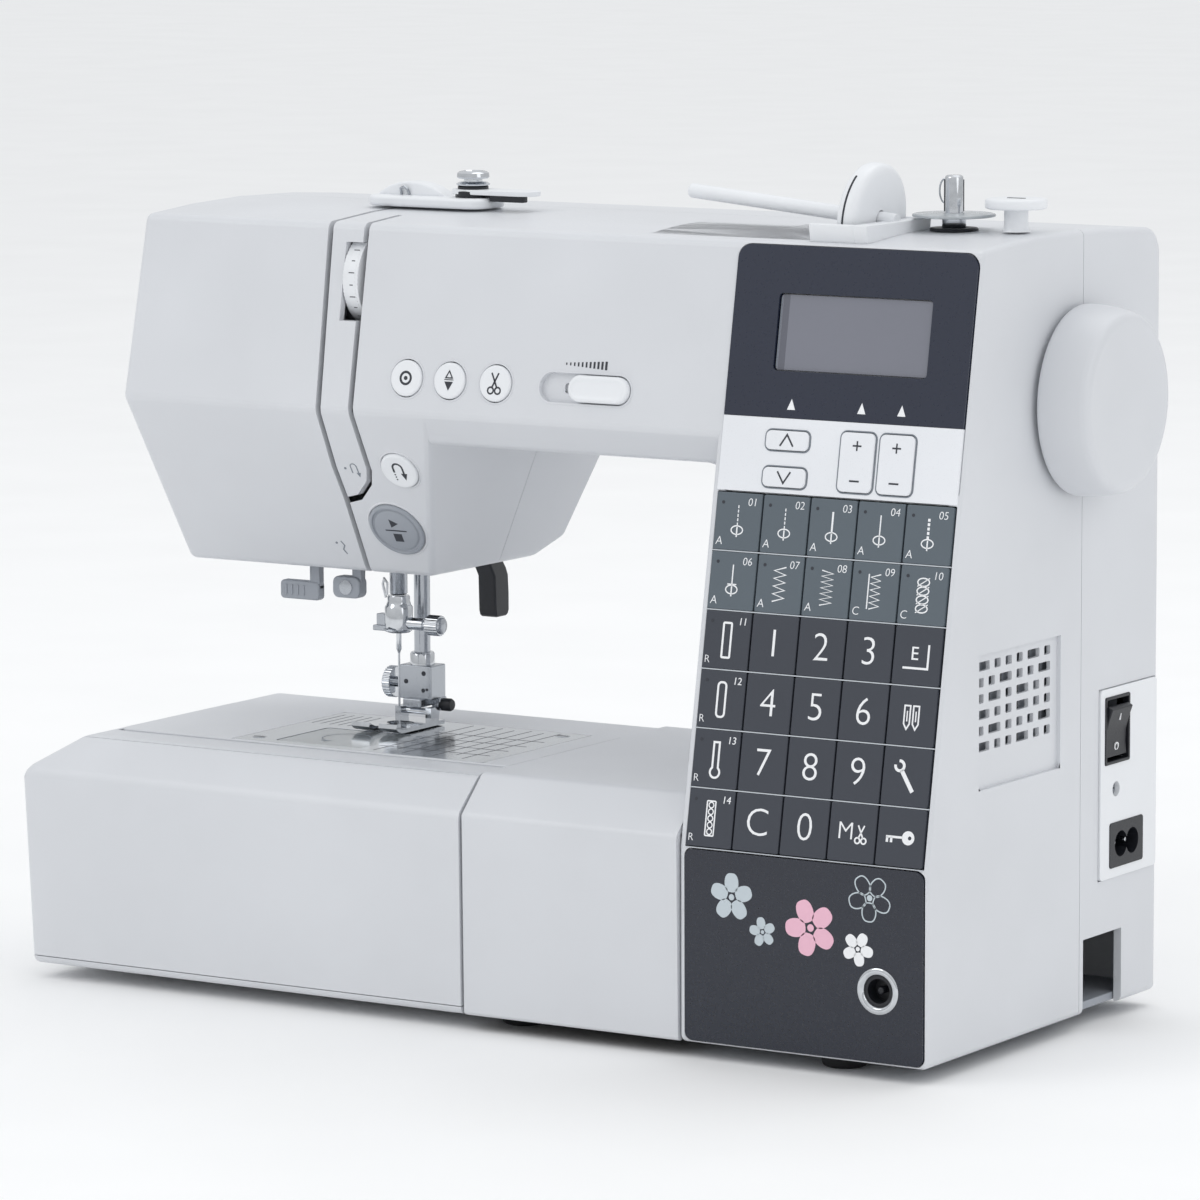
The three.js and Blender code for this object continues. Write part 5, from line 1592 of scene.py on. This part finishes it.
def feed_dog():
    base = Form().box(-100, -78, 0.6, 8, 80.5, 84.5).box(-100, -93.6, -10, 8, 80.5, 84.4)
    base.box(-82.4, -78, -10, 8, 80.5, 84.4)
    base.piece("feed_base", "feed_dog", STEEL, 0.2, node="feed_dog")
    teeth = Form(ALONG_X)
    for x0, x1, y0, y1 in FEED_BARS:
        count = round((y1 - y0) / 1.2)
        step = (y1 - y0) / count
        outline = [(y0, 83), (y1, 83)]
        for k in range(count, 0, -1):
            outline += [(y0 + step * k, 91.2), (y0 + step * (k - 0.85), 90.5)]
        teeth.prism(outline, x0, x1)
    teeth.piece("feed_teeth", "feed_dog", STEEL)


def bobbin_and_hook():
    cu, cv = -92.5, -31
    basket = [
        (0, 56), (3, 56), (3, 62), (15.8, 62), (16.4, 62.6), (16.4, 83.6), (16, 84), (12.2, 84),
        (11.8, 83.6), (11.8, 69), (0, 69),
    ]
    Form().turned(basket, cu, cv, 96).piece("hook_basket", "hook", STEEL, angle=40, node="hook")
    spool = [
        (2.9, 70.5), (10, 70.5), (10.25, 70.7), (10.25, 71.5), (10, 71.7), (4.5, 71.9), (4.5, 81.6),
        (10, 81.8), (10.25, 82), (10.25, 82.8), (10, 83), (2.9, 83),
    ]
    Form().turned(spool, cu, cv, 72).piece("bobbin_spool", "bobbin", CLOUDY, angle=40, node="bobbin")


def feet():
    places = {
        "foot_front_left": (4, -61), "foot_front_right": (138.5, -66), "foot_rear_left": (4, 54),
        "foot_rear_right": (138.5, 66),
    }
    profile = [(0, 0), (6.5, 0), (7.3, 0.3), (7.8, 0.8), (8, 1.4), (8, 5.7), (0, 5.7)]
    for name, (cu, cv) in places.items():
        Form().turned(profile, cu, cv, 48).piece(name + "_pad", "machine", RUBBER, node=name)


for build in (
    vent, socket_unit, power_rocker, handwheel, spool_holder, spool_cap, bobbin_winder, bobbin_stop,
    thread_guide, needle_group, presser_group, presser_foot, presser_lever, threader, needle_plate,
    bobbin_cover, feed_dog, bobbin_and_hook, feet,
):
    build()

# ---------------------------------------------------------------- pieces that keep their CAD shape

KEPT = {
    "base_plate": GREY, "machine_frame": CAST, "circuit_board": BOARD, "take_up_lever": CHROME,
    "main_shaft": STEEL, "lower_shaft": STEEL, "drive_belt": RUBBER, "motor": CAST,
    "motor_pulley": STEEL, "carry_handle": CASING,
}
for kept_node, kept_look in KEPT.items():
    keep(kept_node, kept_look, 0.8 if kept_node == "carry_handle" else 0.3)


# ---------------------------------------------------------------- stage, lights and camera


def area_light(name, place, target, size, power, tone=(1, 1, 1)):
    lamp = bpy.data.lights.new(name, "AREA")
    lamp.shape = "DISK"
    lamp.size = size
    lamp.energy = power
    lamp.color = tone
    holder = placed(name, lamp)
    holder.location = place
    holder.rotation_euler = (Vector(target) - Vector(place)).to_track_quat("-Z", "Y").to_euler()


def floor():
    material, tree, shader = nodes_of("pale floor")
    paper = tint(tree, noise(tree, 90, 2), (0.95, 0.95, 0.95), (0.97, 0.97, 0.97))
    tree.links.new(paper, shader.inputs["Base Color"])
    put(shader, {"Roughness": 0.9, "Specular IOR Level": 0.1})
    bpy.ops.mesh.primitive_plane_add(size=60)
    plane = bpy.context.object
    plane.name = "floor"
    plane.data.materials.append(material)


def studio():
    world = bpy.data.worlds.new("studio")
    bpy.context.scene.world = world
    world.use_nodes = True
    tree = world.node_tree
    background = tree.nodes["Background"]
    place = add_node(tree, "TexCoord").outputs["Generated"]
    height = add_node(tree, "SeparateXYZ", None, place, "Vector").outputs["Z"]
    tree.links.new(spread(tree, height, 0.62, 0.95, -0.1, 0.9), background.inputs["Strength"])
    background.inputs["Color"].default_value = (0.97, 0.985, 1, 1)
    area_light("key", (-1.3, -1.9, 1.9), (0, 0, 0.15), 1.6, 9)
    area_light("side", (2.2, -0.6, 1.2), (0, 0, 0.15), 1.4, 4)
    area_light("top", (0.2, 0.9, 2.4), (0, 0, 0.1), 1.8, 8)


def camera():
    """Long lens from the front right, slightly above."""
    azimuth = math.radians(32.2)
    elevation = math.radians(7.7)
    roll = math.radians(-0.2)
    distance = 2350.8
    target = Vector((-1.9, -0.5, 144.5))
    back = Vector((
        math.sin(azimuth) * math.cos(elevation),
        -math.cos(azimuth) * math.cos(elevation),
        math.sin(elevation),
    ))
    right = Vector((math.cos(azimuth), math.sin(azimuth), 0))
    up = back.cross(right)
    across = right * math.cos(roll) + up * math.sin(roll)
    upward = up * math.cos(roll) - right * math.sin(roll)
    lens = bpy.data.cameras.new("camera")
    lens.sensor_width = 36
    lens.lens = 195
    lens.clip_end = 100
    holder = placed("camera", lens)
    turn = Matrix((across, upward, back)).transposed().to_4x4()
    holder.matrix_world = Matrix.Translation((target + back * distance) * MM) @ turn
    bpy.context.scene.camera = holder


floor()
studio()
camera()
bpy.context.scene.view_settings.view_transform = "Standard"
